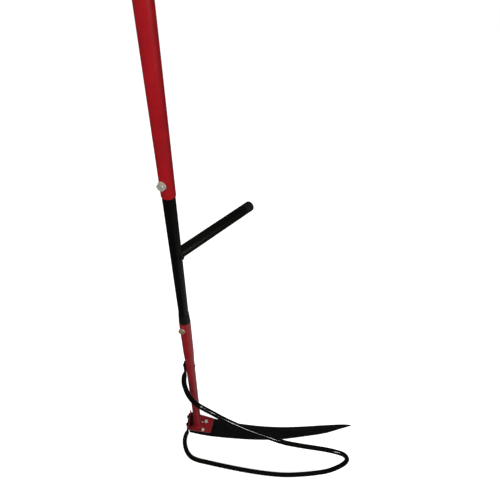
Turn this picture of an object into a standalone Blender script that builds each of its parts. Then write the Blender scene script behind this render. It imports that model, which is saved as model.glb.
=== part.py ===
"""A long-handled scythe: a take-down steel handle in three sections with a side handle,
a sickle blade on a bent-plate bracket, and a bent tube bow that gathers the cut crop.

Frame: the origin is where the handle's axis meets the flat underside of the blade.
+X runs along the blade to its tip, +Y to the cutting edge and the person who mows,
and +Z up the handle. Everything is in metres.
"""

import math

import bmesh
import bpy
from mathutils import Matrix, Vector

GAP = 0.0003

# Handle sections
RED_TUBE_R = 0.0127
RED_TUBE_WALL = 0.0009
SOCKET_R = 0.0139
SOCKET_LENGTH = 0.150
SOCKET_TAPER = 0.060
BLACK_TUBE_R = 0.0115
BLACK_TUBE_WALL = 0.0012
TUBE_CHAMFER = 0.0004
HANDLE_TOP_Z = 1.500
UPPER_JOINT_Z = 1.1225
LOWER_JOINT_Z = 0.732
JOINT_OVERLAP = 0.080
UPPER_BOLT_Z = 1.152
LOWER_BOLT_Z = 0.7075
JOINT_BOLT_TURN = math.radians(70)
JOINT_NUT_REACH = 0.0065
JOINT_BOLT_PROUD = 0.0025
JOINT_HOLE_REACH = 0.006
BUSH_COLLAR = 0.034
FOOT_LIFT = 0.0003

# Side handle, level, swung from +X toward the person who mows
SIDE_HANDLE_Z = 0.970
SIDE_HANDLE_TURN = math.radians(50)
SIDE_HANDLE_REACH = 0.190
SIDE_CAP_LENGTH = 0.024
SIDE_CAP_CROWN = 0.0075
SIDE_CAP_STEM = 0.016
SIDE_CAP_STEM_TAPER = 0.0015
SIDE_WELD_R = 0.0042
SIDE_WELD_STEPS = 28

# Blade and its bracket
BLADE_THICK = 0.0025
BLADE_EDGE_THICK = 0.0005
BLADE_BEVEL = 0.013
BLADE_BACK = (
    (-0.0300, -0.0280), (0.0300, -0.0352), (0.1000, -0.0380), (0.2000, -0.0372), (0.3000, -0.0298),
    (0.4000, -0.0112), (0.4800, 0.0066), (0.5420, 0.0280), (0.5740, 0.0390),
)
BLADE_CUT = (
    (-0.0300, 0.0395), (0.0550, 0.0285), (0.1400, 0.0180), (0.2300, 0.0142), (0.3000, 0.0158),
    (0.3750, 0.0225), (0.4700, 0.0350), (0.5420, 0.0438), (0.5740, 0.0448),
)
BLADE_TIP = (0.5815, 0.0425)
BLADE_STATIONS = 30
BRACKET_THICK = 0.003
BRACKET_OUTLINE = (
    (-0.0285, -0.0220), (0.0500, -0.0265), (0.0577, 0.0270), (0.0040, 0.0368), (-0.0313, 0.0440),
)
BRACKET_CORNER_R = 0.004
FLANGE_HEIGHT = 0.027
FLANGE_BEND_R = 0.004
FOOT_WELD_LEG = 0.0020

# Bow: a bent tube whose two ends are pressed flat and drilled
BOW_R = 0.0075
BOW_WALL = 0.0012
BOW_FLAT_HALF_THICK = 0.0025
BOW_FLAT_HALF_WIDTH = 0.0090
BOW_SLIT_HALF = 0.0013
BOW_TOP_RIVET_Z = 0.496
BOW_TAB_END = 0.0115
BOW_TOP_FLAT = 0.044
BOW_TOP_FLATTENING = 0.026
BOW_FOOT_FLAT = 0.056
BOW_FOOT_FLATTENING = 0.014
BOW_SIDES = 10
BOW_STEP = 0.018
BOW_ARM = (
    (-0.0155, -0.0005, 0.4640), (-0.0190, -0.0085, 0.4440), (-0.0200, -0.0180, 0.4240),
    (-0.0165, -0.0260, 0.4020), (-0.0080, -0.0345, 0.3700), (0.0060, -0.0425, 0.3445),
    (0.0250, -0.0485, 0.3245), (0.0650, -0.0575, 0.2990), (0.1120, -0.0665, 0.2675),
    (0.1760, -0.0765, 0.2325), (0.2450, -0.0845, 0.2020), (0.3000, -0.0910, 0.1810),
    (0.3600, -0.0945, 0.1705), (0.4330, -0.0970, 0.1620),
)
BOW_NOSE = (
    (0.4775, -0.0998, 0.1530), (0.5072, -0.1035, 0.1405), (0.5217, -0.1110, 0.1150),
    (0.5102, -0.1205, 0.0850), (0.4735, -0.1310, 0.0465), (0.4250, -0.1370, 0.0220),
)
BOW_RUN = (
    (0.3700, -0.1430, 0.0120), (0.3240, -0.1468, 0.0105), (0.2720, -0.1470, 0.0105),
    (0.2150, -0.1442, 0.0105), (0.1570, -0.1392, 0.0105), (0.1000, -0.1328, 0.0105),
    (0.0450, -0.1258, 0.0105), (0.0190, -0.1222, 0.0107), (-0.0040, -0.1150, 0.0110),
    (-0.0190, -0.1036, 0.0113), (-0.0300, -0.0880, 0.0117), (-0.0375, -0.0680, 0.0120),
    (-0.0385, -0.0480, 0.0125),
)

# Fasteners: radius of the shank, width across flats, head height, nut height
M8 = {"shank": 0.0040, "flats": 0.0130, "head": 0.0053, "nut": 0.0065, "washer_r": 0.0080, "washer": 0.0016}
M6 = {"shank": 0.0030, "flats": 0.0100, "head": 0.0040, "nut": 0.0050, "washer_r": 0.0060, "washer": 0.0012}
FASTENER_SIDES = 12
HOLE_SIDES = 16
BLADE_SCREWS_XY = ((0.0294, 0.0128), (0.0210, -0.0178))
COUNTERSINK_R = 0.0050
COUNTERSINK_RIM = 0.0002
RIVET_XY = (0.0160, 0.0095)
RIVET_R = 0.0020
RIVET_HEAD_R = 0.0032
RIVET_HEAD = 0.0022
BOW_RIVET = {"shank": 0.0030, "head_r": 0.0048, "head": 0.0026, "far_r": 0.0042, "far": 0.0016}
FLANGE_BOLTS_S = (0.0170, 0.0440)
FLANGE_BOLT_Z = 0.0150

RED = (0.33, 0.012, 0.017)
BLACK = (0.012, 0.012, 0.011)
ZINC = (0.55, 0.53, 0.49)
YELLOW_ZINC = (0.36, 0.28, 0.17)
FINISHES = {
    "red_paint": (RED, 0.42, 0.0),
    "black_paint": (BLACK, 0.35, 0.0),
    "blade_black": ((0.016, 0.017, 0.016), 0.48, 0.3),
    "black_plastic": ((0.014, 0.014, 0.013), 0.55, 0.0),
    "zinc": (ZINC, 0.35, 1.0),
    "yellow_zinc": (YELLOW_ZINC, 0.42, 1.0),
}


# ---------------------------------------------------------------- helpers


def clear_scene():
    for old in list(bpy.data.objects):
        bpy.data.objects.remove(old, do_unlink=True)


def material(name, finish):
    colour, roughness, metallic = FINISHES[finish]
    made = bpy.data.materials.new(name)
    made.use_nodes = True
    shader = made.node_tree.nodes["Principled BSDF"]
    shader.inputs["Base Color"].default_value = (*colour, 1.0)
    shader.inputs["Roughness"].default_value = roughness
    shader.inputs["Metallic"].default_value = metallic
    return made


def new_object(name, bm, finish, place=None):
    """Makes an object of a finished bmesh, with its faces turned outward and round parts smooth."""
    bmesh.ops.recalc_face_normals(bm, faces=bm.faces)
    mesh = bpy.data.meshes.new(name)
    bm.to_mesh(mesh)
    bm.free()
    mesh.shade_smooth()
    mesh.set_sharp_from_angle(angle=math.radians(32))
    mesh.materials.append(material(name, finish))
    made = bpy.data.objects.new(name, mesh)
    bpy.context.scene.collection.objects.link(made)
    if place is not None:
        made.matrix_world = place
    return made


def along(origin, direction):
    """A placement whose local Z runs along direction from origin."""
    turn = Vector(direction).to_track_quat("Z", "Y")
    return Matrix.LocRotScale(Vector(origin), turn, None)


def ring_radius(angle, radius, shape):
    """Distance from the centre to a circle, or to a hexagon whose flats are radius away."""
    if shape == "round":
        return radius
    folded = (angle + math.pi / 6) % (math.pi / 3) - math.pi / 6
    return radius / math.cos(folded)


def turned(name, profile, finish, place=None, sides=24, closed=False):
    """A solid turned about Z. A profile point is (radius, height) or (flats / 2, height, 'hex')."""
    bm = bmesh.new()
    rings = []
    for point in profile:
        radius, height = point[0], point[1]
        shape = point[2] if len(point) > 2 else "round"
        if radius == 0:
            rings.append([bm.verts.new((0, 0, height))])
            continue
        ring = []
        for step in range(sides):
            angle = 2 * math.pi * step / sides
            out = ring_radius(angle, radius, shape)
            ring.append(bm.verts.new((out * math.cos(angle), out * math.sin(angle), height)))
        rings.append(ring)
    pairs = list(zip(rings, rings[1:]))
    if closed:
        pairs.append((rings[-1], rings[0]))
    for low, high in pairs:
        for step in range(sides):
            following = (step + 1) % sides
            if len(low) == 1:
                corners = (low[0], high[step], high[following])
            elif len(high) == 1:
                corners = (low[step], low[following], high[0])
            else:
                corners = (low[step], low[following], high[following], high[step])
            bm.faces.new(corners)
    if not closed:
        for ring in (rings[0], rings[-1]):
            if len(ring) > 1:
                bm.faces.new(ring)
    return new_object(name, bm, finish, place)


def tube_profile(outer, inner, low, high, chamfer=TUBE_CHAMFER):
    """Closed profile of a tube with its outer rims eased."""
    return (
        (inner, low),
        (outer - chamfer, low),
        (outer, low + chamfer),
        (outer, high - chamfer),
        (outer - chamfer, high),
        (inner, high),
    )


def cut(target, cutter, name, operation="DIFFERENCE", solver="EXACT"):
    modifier = target.modifiers.new(name, "BOOLEAN")
    modifier.object = cutter
    modifier.operation = operation
    modifier.solver = solver
    cutter.hide_render = True
    cutter.display_type = "WIRE"


def drill(targets, name, radius, reach, place, solver="EXACT"):
    """Cuts one round hole, reach long each way from the placement's origin, through each target."""
    cutter = turned(name, ((radius, -reach), (radius, reach)), "zinc", place, HOLE_SIDES)
    for target in targets:
        cut(target, cutter, name, solver=solver)


def rounded(outline, radius, steps=3):
    """The outline, run anticlockwise, with each corner turned into an arc."""
    points = []
    count = len(outline)
    for index in range(count):
        corner = Vector(outline[index])
        before = (Vector(outline[index - 1]) - corner).normalized()
        after = (Vector(outline[(index + 1) % count]) - corner).normalized()
        half = before.angle(after) / 2
        centre = corner + (before + after).normalized() * radius / math.sin(half)
        start = corner + before * radius / math.tan(half) - centre
        sweep = math.pi - 2 * half
        for step in range(steps + 1):
            turn = Matrix.Rotation(sweep * step / steps, 2)
            points.append(centre + turn @ start)
    return points


def smooth_path(points, per_span=8):
    """Catmull-Rom curve through the points, finely stepped."""
    ends = [points[0] * 2 - points[1]] + points + [points[-1] * 2 - points[-2]]
    path = []
    for index in range(1, len(ends) - 2):
        a, b, c, d = ends[index - 1 : index + 3]
        for step in range(per_span):
            t = step / per_span
            path.append(
                0.5 * ((2 * b) + (c - a) * t + (2 * a - 5 * b + 4 * c - d) * t**2 + (3 * (b - c) - a + d) * t**3)
            )
    path.append(points[-1].copy())
    return path


def even_path(path, spacing):
    """The same path with evenly spaced points, and each point's distance along it."""
    lengths = [0.0]
    for before, after in zip(path, path[1:]):
        lengths.append(lengths[-1] + (after - before).length)
    count = max(2, round(lengths[-1] / spacing))
    points, marks, index = [], [], 0
    for step in range(count + 1):
        mark = lengths[-1] * step / count
        while index < len(lengths) - 2 and lengths[index + 1] < mark:
            index += 1
        share = (mark - lengths[index]) / (lengths[index + 1] - lengths[index])
        points.append(path[index].lerp(path[index + 1], share))
        marks.append(mark)
    return points, marks


def ramp(value):
    value = min(1.0, max(0.0, value))
    return value * value * (3 - 2 * value)


def outline_curve(points, across):
    """Height of a smooth curve through the points at the abscissa across."""
    path = smooth_path([Vector((x, y, 0)) for x, y in points])
    for before, after in zip(path, path[1:]):
        if before.x <= across <= after.x:
            return before.lerp(after, (across - before.x) / (after.x - before.x)).y
    return path[-1].y


# ---------------------------------------------------------------- handle


def level(turn):
    """Level direction at an angle from +X toward +Y."""
    return Vector((math.cos(turn), math.sin(turn), 0))


def make_tubes():
    red_bore = RED_TUBE_R - RED_TUBE_WALL
    black_bore = BLACK_TUBE_R - BLACK_TUBE_WALL
    socket_bore = SOCKET_R - RED_TUBE_WALL
    foot = BLADE_THICK + GAP + BRACKET_THICK + FOOT_LIFT
    socket_foot = LOWER_JOINT_Z - SOCKET_LENGTH
    upper = turned(
        "upper_handle_tube", tube_profile(RED_TUBE_R, red_bore, UPPER_JOINT_Z, HANDLE_TOP_Z), "red_paint",
        sides=32, closed=True,
    )
    middle = turned(
        "middle_tube",
        tube_profile(BLACK_TUBE_R, black_bore, LOWER_JOINT_Z - JOINT_OVERLAP, UPPER_JOINT_Z + JOINT_OVERLAP),
        "black_paint", sides=32, closed=True,
    )
    # The lower tube's top is swaged out into a socket.
    lower = turned(
        "lower_tube",
        (
            (red_bore, foot),
            (RED_TUBE_R - TUBE_CHAMFER, foot),
            (RED_TUBE_R, foot + TUBE_CHAMFER),
            (RED_TUBE_R, socket_foot - SOCKET_TAPER),
            (SOCKET_R, socket_foot),
            (SOCKET_R, LOWER_JOINT_Z - TUBE_CHAMFER),
            (SOCKET_R - TUBE_CHAMFER, LOWER_JOINT_Z),
            (socket_bore, LOWER_JOINT_Z),
            (socket_bore, socket_foot),
            (red_bore, socket_foot - SOCKET_TAPER),
        ),
        "red_paint", sides=32, closed=True,
    )
    bush = make_joint_bush(socket_bore)
    across = level(JOINT_BOLT_TURN)
    for name, height, seat, walls in (
        ("upper", UPPER_BOLT_Z, RED_TUBE_R, (upper, middle)),
        ("lower", LOWER_BOLT_Z, SOCKET_R, (lower, middle, bush)),
    ):
        place = along(Vector((0, 0, height)) - across * seat, across)
        drill(walls, f"{name}_joint_hole", M8["shank"] + GAP, JOINT_HOLE_REACH, place)
    rivet_hole = BOW_RIVET["shank"] + GAP
    drill((lower,), "bow_hole", rivet_hole, 0.02, along((0, 0, BOW_TOP_RIVET_Z), (1, 0, 0)))


def make_top_cap():
    """Push-in end cap: a domed head as wide as the tube, and a stem inside it."""
    stem = RED_TUBE_R - RED_TUBE_WALL - GAP
    seat = HANDLE_TOP_Z + GAP
    turned(
        "top_end_cap",
        (
            (stem - 0.0008, seat - 0.018),
            (stem, seat - 0.0165),
            (stem, seat),
            (RED_TUBE_R, seat),
            (RED_TUBE_R, seat + 0.0022),
            (RED_TUBE_R - 0.0007, seat + 0.0038),
            (RED_TUBE_R - 0.0022, seat + 0.0048),
        ),
        "black_plastic",
    )


def make_joint_bush(socket_bore):
    """Plastic bush: a sleeve that fills the socket round the black tube, and a tapered collar above it."""
    bore = BLACK_TUBE_R + GAP
    seat = LOWER_JOINT_Z + GAP
    sleeve = socket_bore - GAP
    return turned(
        "lower_joint_bush",
        (
            (bore, LOWER_JOINT_Z - JOINT_OVERLAP + GAP),
            (sleeve, LOWER_JOINT_Z - JOINT_OVERLAP + GAP),
            (sleeve, seat),
            (sleeve + 0.0006, seat),
            (sleeve + 0.0006, seat + 0.008),
            (bore + 0.0004, seat + BUSH_COLLAR),
            (bore, seat + BUSH_COLLAR),
        ),
        "black_plastic", sides=32, closed=True,
    )


def hex_bolt(name, size, grip, finish, place):
    """Hex bolt: the head below local zero, and its shank grip long above."""
    half = size["flats"] / 2
    top = -size["head"]
    turned(
        name,
        (
            (half * 0.93, top),
            (half, top + 0.0008, "hex"),
            (half, 0.0, "hex"),
            (size["shank"], 0.0),
            (size["shank"], grip - 0.0006),
            (size["shank"] - 0.0006, grip),
        ),
        finish, place, FASTENER_SIDES,
    )


def hex_nut(name, size, low, finish, place):
    half = size["flats"] / 2
    bore = size["shank"] + GAP
    high = low + size["nut"]
    turned(
        name,
        (
            (bore, low),
            (half * 0.95, low),
            (half, low + 0.0007, "hex"),
            (half, high - 0.0007, "hex"),
            (half * 0.95, high),
            (bore, high),
        ),
        finish, place, FASTENER_SIDES, closed=True,
    )


def flat_washer(name, size, low, finish, place):
    bore = size["shank"] + GAP
    rim = size["washer_r"]
    high = low + size["washer"]
    profile = ((bore, low), (rim, low), (rim, high), (bore, high))
    turned(name, profile, finish, place, HOLE_SIDES, closed=True)


def make_joint_fasteners(name, height, seat, head_finish):
    """Hex bolt and washer outside one joint, and the nut brazed inside the black tube that it screws into."""
    across = level(JOINT_BOLT_TURN)
    place = along(Vector((0, 0, height)) - across * seat, across)
    washer = M8["washer"]
    tip = JOINT_NUT_REACH - M8["nut"] - JOINT_BOLT_PROUD
    head_place = place @ Matrix.Translation((0, 0, -washer - 2 * GAP))
    hex_bolt(f"{name}_joint_bolt", M8, seat - tip + washer + 2 * GAP, head_finish, head_place)
    flat_washer(f"{name}_joint_washer", M8, -washer - GAP, "zinc", place)
    hex_nut(f"{name}_joint_inner_nut", M8, seat - JOINT_NUT_REACH, "zinc", place)


# ---------------------------------------------------------------- side handle


def add_bead(bm, centres, radii, sides=8):
    """Closed ring of round section that follows the closed path of centres."""
    count = len(centres)
    rings = []
    for index in range(count):
        ahead = (centres[(index + 1) % count] - centres[index - 1]).normalized()
        outward = centres[index] - sum(centres, Vector()) / count
        outward = (outward - ahead * outward.dot(ahead)).normalized()
        upward = ahead.cross(outward)
        ring = []
        for step in range(sides):
            angle = 2 * math.pi * step / sides
            offset = outward * math.cos(angle) + upward * math.sin(angle)
            ring.append(bm.verts.new(centres[index] + offset * radii[index]))
        rings.append(ring)
    for index in range(count):
        low, high = rings[index], rings[(index + 1) % count]
        for step in range(sides):
            following = (step + 1) % sides
            bm.faces.new((low[step], low[following], high[following], high[step]))


def make_side_handle():
    root = Vector((0, 0, SIDE_HANDLE_Z))
    direction = level(SIDE_HANDLE_TURN)
    place = along(root, direction)
    bore = BLACK_TUBE_R - BLACK_TUBE_WALL
    handle = turned(
        "side_handle_tube", tube_profile(BLACK_TUBE_R, bore, 0.001, SIDE_HANDLE_REACH), "black_paint", place,
        sides=32, closed=True,
    )
    saddle = turned(
        "side_handle_saddle_cutter",
        ((BLACK_TUBE_R + GAP, SIDE_HANDLE_Z - 0.05), (BLACK_TUBE_R + GAP, SIDE_HANDLE_Z + 0.05)),
        "black_paint", sides=32,
    )
    cut(handle, saddle, "saddle")

    seat = SIDE_HANDLE_REACH + GAP
    stem = bore - GAP
    crown_seat = seat + SIDE_CAP_LENGTH - SIDE_CAP_CROWN
    crown = []
    for step in range(5):
        angle = math.pi / 2 * step / 5
        radius = BLACK_TUBE_R - SIDE_CAP_CROWN + SIDE_CAP_CROWN * math.cos(angle)
        crown.append((radius, crown_seat + SIDE_CAP_CROWN * math.sin(angle)))
    stem_foot = seat - SIDE_CAP_STEM
    cap = [(stem - 0.0008, stem_foot), (stem, stem_foot + SIDE_CAP_STEM_TAPER), (stem, seat), (BLACK_TUBE_R, seat)]
    turned(
        "side_handle_end_cap", (*cap, *crown, (0.0, seat + SIDE_CAP_LENGTH)), "black_plastic", place, sides=32,
    )

    # The weld bead runs round the line where the two tubes meet, fattest on the underside.
    side = Vector((-direction.y, direction.x, 0))
    corner_r = BLACK_TUBE_R
    centres, radii = [], []
    for step in range(SIDE_WELD_STEPS):
        angle = 2 * math.pi * step / SIDE_WELD_STEPS
        sideways = corner_r * math.sin(angle)
        forward = math.sqrt(max(corner_r**2 - sideways**2, 0.0))
        lift = Vector((0, 0, corner_r * math.cos(angle)))
        centres.append(root + side * sideways + direction * forward + lift)
        low_share = max(0.0, -math.cos(angle))
        radii.append(SIDE_WELD_R * (0.62 + 0.38 * low_share))
    bm = bmesh.new()
    add_bead(bm, centres, radii)
    weld = new_object("side_handle_weld", bm, "black_paint")
    cut(weld, saddle, "saddle")
    sleeve = turned(
        "side_handle_sleeve_cutter", ((BLACK_TUBE_R + GAP, -0.004), (BLACK_TUBE_R + GAP, 0.05)),
        "black_paint", place, sides=32,
    )
    cut(weld, sleeve, "sleeve")


# ---------------------------------------------------------------- blade and bracket


def make_blade():
    """Sickle blade: flat underside, a thick back, and a bevel down to the concave cutting edge."""
    first, last = BLADE_BACK[0][0], BLADE_BACK[-1][0]
    bm = bmesh.new()
    rings = []
    for station in range(BLADE_STATIONS + 1):
        x = first + (last - first) * station / BLADE_STATIONS
        back = outline_curve(BLADE_BACK, x)
        edge = outline_curve(BLADE_CUT, x)
        bevel = edge - min(BLADE_BEVEL, 0.62 * (edge - back))
        section = (
            (back, 0.0), (back, BLADE_THICK - 0.0006), (back + 0.0008, BLADE_THICK),
            (bevel, BLADE_THICK), (edge, BLADE_EDGE_THICK), (edge, 0.0),
        )
        rings.append([bm.verts.new((x, y, z)) for y, z in section])
    tip = (BLADE_TIP[0], BLADE_TIP[1])
    tip_low = bm.verts.new((*tip, 0.0))
    tip_high = bm.verts.new((*tip, BLADE_EDGE_THICK * 2))
    bm.faces.new(rings[0])
    for low, high in zip(rings, rings[1:]):
        for step in range(6):
            following = (step + 1) % 6
            bm.faces.new((low[step], low[following], high[following], high[step]))
    last_ring = rings[-1]
    bm.faces.new((last_ring[5], last_ring[0], tip_low))
    bm.faces.new((last_ring[0], last_ring[1], tip_high, tip_low))
    for step in (1, 2, 3):
        bm.faces.new((last_ring[step], last_ring[step + 1], tip_high))
    bm.faces.new((last_ring[4], last_ring[5], tip_low, tip_high))
    blade = new_object("blade", bm, "blade_black")
    # The countersink is a cone at 45 degrees, GAP clear of the screw's head.
    cone_apex = COUNTERSINK_R + GAP + COUNTERSINK_RIM + 1.5 * GAP
    bore, below = M6["shank"] + GAP, 0.001
    for index, (x, y) in enumerate(BLADE_SCREWS_XY):
        hole = turned(
            f"blade_hole_{index}",
            ((cone_apex + below, -below), (bore, cone_apex - bore), (bore, 0.02)),
            "zinc", Matrix.Translation((x, y, 0)), HOLE_SIDES,
        )
        cut(blade, hole, f"blade_hole_{index}")
    drill((blade,), "rivet_hole", RIVET_R + GAP, 0.02, Matrix.Translation((*RIVET_XY, 0)))
    return blade


def flange_line():
    """Start and direction of the bracket's upturned edge."""
    near, far = Vector(BRACKET_OUTLINE[0]), Vector(BRACKET_OUTLINE[-1])
    return Vector((*near, 0)), Vector((*(far - near), 0)).normalized()


def make_bracket():
    """One bent plate: flat on the blade, with its heel edge turned up as a flange."""
    near, far = flange_line()
    inward = Vector((far.y, -far.x, 0))
    under = BLADE_THICK + GAP
    thick = BRACKET_THICK
    section = [(0.11, 0.0), (0.11, thick)]
    for step in range(5):
        angle = math.pi / 2 * step / 4
        inner = FLANGE_BEND_R - thick
        section.append((FLANGE_BEND_R - inner * math.sin(angle), FLANGE_BEND_R - inner * math.cos(angle)))
    section += [(thick, FLANGE_HEIGHT), (0.0, FLANGE_HEIGHT)]
    for step in range(5):
        angle = math.pi / 2 * (1 - step / 4)
        section.append((FLANGE_BEND_R * (1 - math.sin(angle)), FLANGE_BEND_R * (1 - math.cos(angle))))
    bm = bmesh.new()
    ends = []
    for reach in (-0.02, 0.09):
        origin = near - inward * thick + far * reach + Vector((0, 0, under))
        ends.append([bm.verts.new(origin + inward * out + Vector((0, 0, up))) for out, up in section])
    bm.faces.new(ends[0])
    bm.faces.new(ends[1])
    count = len(section)
    for step in range(count):
        following = (step + 1) % count
        bm.faces.new((ends[0][step], ends[0][following], ends[1][following], ends[1][step]))
    bracket = new_object("blade_bracket", bm, "red_paint")

    outline = [Vector(point) for point in BRACKET_OUTLINE]
    shift = Vector(inward.xy) * (thick + 0.001)
    far_2d = Vector(far.xy)
    outline[0] -= shift
    outline[-1] -= shift
    bm = bmesh.new()
    flat = rounded(outline, BRACKET_CORNER_R)
    rings = [[bm.verts.new((point.x, point.y, z)) for point in flat] for z in (-0.01, 0.05)]
    bm.faces.new(rings[0])
    bm.faces.new(rings[1])
    for step in range(len(flat)):
        following = (step + 1) % len(flat)
        bm.faces.new((rings[0][step], rings[0][following], rings[1][following], rings[1][step]))
    blank = new_object("bracket_outline_cutter", bm, "red_paint")
    cut(bracket, blank, "outline", "INTERSECT")
    for index, (x, y) in enumerate(BLADE_SCREWS_XY):
        drill((bracket,), f"bracket_hole_{index}", M6["shank"] + GAP, 0.02, Matrix.Translation((x, y, 0)))
    drill((bracket,), "bracket_rivet_hole", RIVET_R + GAP, 0.02, Matrix.Translation((*RIVET_XY, 0)))
    return bracket, near, far, inward


def make_foot_weld():
    """Fillet between the lower tube and the bracket plate."""
    low = BLADE_THICK + BRACKET_THICK + 2 * GAP
    inner = RED_TUBE_R + GAP
    leg = FOOT_WELD_LEG
    turned(
        "foot_weld",
        (
            (inner, low),
            (inner + leg, low),
            (inner + leg * 0.62, low + leg * 0.75),
            (inner + leg * 0.25, low + leg * 1.45),
            (inner, low + leg * 1.7),
        ),
        "red_paint", sides=32, closed=True,
    )


def make_blade_fasteners():
    """Countersunk screws flush under the blade, with washers and nuts on the bracket, and one rivet."""
    seat = BLADE_THICK + BRACKET_THICK + 2 * GAP
    nut_low = seat + M6["washer"] + GAP
    shank_top = nut_low + M6["nut"] + 0.0015
    profile = (
        (COUNTERSINK_R, GAP),
        (COUNTERSINK_R, GAP + COUNTERSINK_RIM),
        (M6["shank"], GAP + COUNTERSINK_RIM + COUNTERSINK_R - M6["shank"]),
        (M6["shank"], shank_top - 0.0006),
        (M6["shank"] - 0.0006, shank_top),
    )
    for index, (x, y) in enumerate(BLADE_SCREWS_XY, 1):
        place = Matrix.Translation((x, y, 0))
        turned(f"blade_screw_{index}", profile, "zinc", place, FASTENER_SIDES)
        flat_washer(f"blade_washer_{index}", M6, seat, "zinc", place)
        hex_nut(f"blade_nut_{index}", M6, nut_low, "zinc", place)

    profile = ((RIVET_R, GAP), (RIVET_R, seat), *dome(RIVET_HEAD_R, seat, RIVET_HEAD))
    turned("blade_locating_rivet", profile, "zinc", Matrix.Translation((*RIVET_XY, 0)), HOLE_SIDES)


# ---------------------------------------------------------------- bow


def bow_route(near, far, inward):
    """The bow's centre line: top tab, arm, nose, ground run and heel tab."""
    tab_x = -RED_TUBE_R - GAP - BOW_FLAT_HALF_THICK
    top = []
    for lift in (BOW_TAB_END, 0.0, -BOW_TAB_END):
        top.append(Vector((tab_x, 0, BOW_TOP_RIVET_Z + lift)))
    heel_face = near - inward * (BRACKET_THICK + GAP + BOW_FLAT_HALF_THICK)
    heel = []
    for reach in (-0.009, 0.003, *FLANGE_BOLTS_S, FLANGE_BOLTS_S[-1] + BOW_TAB_END):
        heel.append(Vector((heel_face.x, heel_face.y, FLANGE_BOLT_Z)) + far * reach)
    middle = [Vector(point) for point in BOW_ARM + BOW_NOSE + BOW_RUN]
    return top + middle + heel


def bow_section(flat, tip, inner):
    """Section points (thin, wide) of the bow, from round at flat 0 to pressed at flat 1."""
    radius = BOW_R - BOW_WALL if inner else BOW_R
    thin = BOW_SLIT_HALF if inner else BOW_FLAT_HALF_THICK
    wide = (BOW_FLAT_HALF_WIDTH - BOW_WALL if inner else BOW_FLAT_HALF_WIDTH) * tip
    points = []
    for step in range(BOW_SIDES):
        angle = 2 * math.pi * (step + 0.5) / BOW_SIDES
        pressed = max(-1.0, min(1.0, 2.6 * math.cos(angle)))
        points.append(
            (
                (1 - flat) * radius * math.cos(angle) + flat * thin * pressed,
                (1 - flat) * radius * math.sin(angle) + flat * wide * math.sin(angle),
            )
        )
    return points


def make_bow(near, far, inward):
    path, marks = even_path(smooth_path(bow_route(near, far, inward)), BOW_STEP / 3)
    total = marks[-1]
    keep = [0]
    for index in range(1, len(path) - 1):
        near_end = min(marks[index], total - marks[index]) < BOW_FOOT_FLAT + BOW_FOOT_FLATTENING
        bend = (path[index + 1] - path[index]).angle(path[index] - path[index - 1])
        spacing = BOW_STEP * (0.42 if near_end else 1.0 if bend > 0.02 else 2.0)
        if marks[index] - marks[keep[-1]] >= spacing:
            keep.append(index)
    keep.append(len(path) - 1)

    tangents = []
    for index in range(len(path)):
        low, high = max(index - 1, 0), min(index + 1, len(path) - 1)
        tangents.append((path[high] - path[low]).normalized())
    thin = Vector((1, 0, 0))
    thins = []
    for tangent in tangents:
        thin = (thin - tangent * thin.dot(tangent)).normalized()
        thins.append(thin)
    # The frame is carried along without twist, then turned over the round stretch to suit the flange.
    round_from = BOW_TOP_FLAT + BOW_TOP_FLATTENING
    round_to = total - BOW_FOOT_FLAT - BOW_FOOT_FLATTENING
    last = tangents[-1]
    lack = math.atan2(last.dot(thins[-1].cross(inward)), thins[-1].dot(inward))
    if lack > math.pi / 2:
        lack -= math.pi
    if lack < -math.pi / 2:
        lack += math.pi

    bm = bmesh.new()
    outer_rings, inner_rings = [], []
    for index in keep:
        mark = marks[index]
        tangent = tangents[index]
        turn = lack * ramp((mark - round_from) / (round_to - round_from))
        axis = Matrix.Rotation(turn, 3, tangent) @ thins[index]
        across = tangent.cross(axis)
        flat = max(
            1 - ramp((mark - BOW_TOP_FLAT) / BOW_TOP_FLATTENING),
            1 - ramp((total - mark - BOW_FOOT_FLAT) / BOW_FOOT_FLATTENING),
        )
        end = min(mark, total - mark)
        tip = 0.62 + 0.38 * math.sqrt(1 - (1 - min(end / 0.006, 1.0)) ** 2)
        for rings, inner in ((outer_rings, False), (inner_rings, True)):
            ring = []
            for out, side in bow_section(flat, tip, inner):
                ring.append(bm.verts.new(path[index] + axis * out + across * side))
            rings.append(ring)
    for rings in (outer_rings, inner_rings):
        for low, high in zip(rings, rings[1:]):
            for step in range(BOW_SIDES):
                following = (step + 1) % BOW_SIDES
                bm.faces.new((low[step], low[following], high[following], high[step]))
    for outer, inner in ((outer_rings[0], inner_rings[0]), (outer_rings[-1], inner_rings[-1])):
        for step in range(BOW_SIDES):
            following = (step + 1) % BOW_SIDES
            bm.faces.new((outer[step], outer[following], inner[following], inner[step]))
    bow = new_object("gathering_bow", bm, "black_paint")
    tab_place = along((-RED_TUBE_R - BOW_FLAT_HALF_THICK, 0, BOW_TOP_RIVET_Z), (1, 0, 0))
    drill((bow,), "bow_top_tab_hole", BOW_RIVET["shank"] + GAP, 0.006, tab_place, "MANIFOLD")
    return bow


def dome(radius, seat, height, steps=5):
    """Profile points of a dome that stands height above its seat, rim first; a minus height turns it over."""
    points = []
    for step in range(steps):
        angle = math.pi / 2 * step / steps
        points.append((radius * math.cos(angle), seat + height * math.sin(angle)))
    return (*points, (0.0, seat + height))


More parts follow.
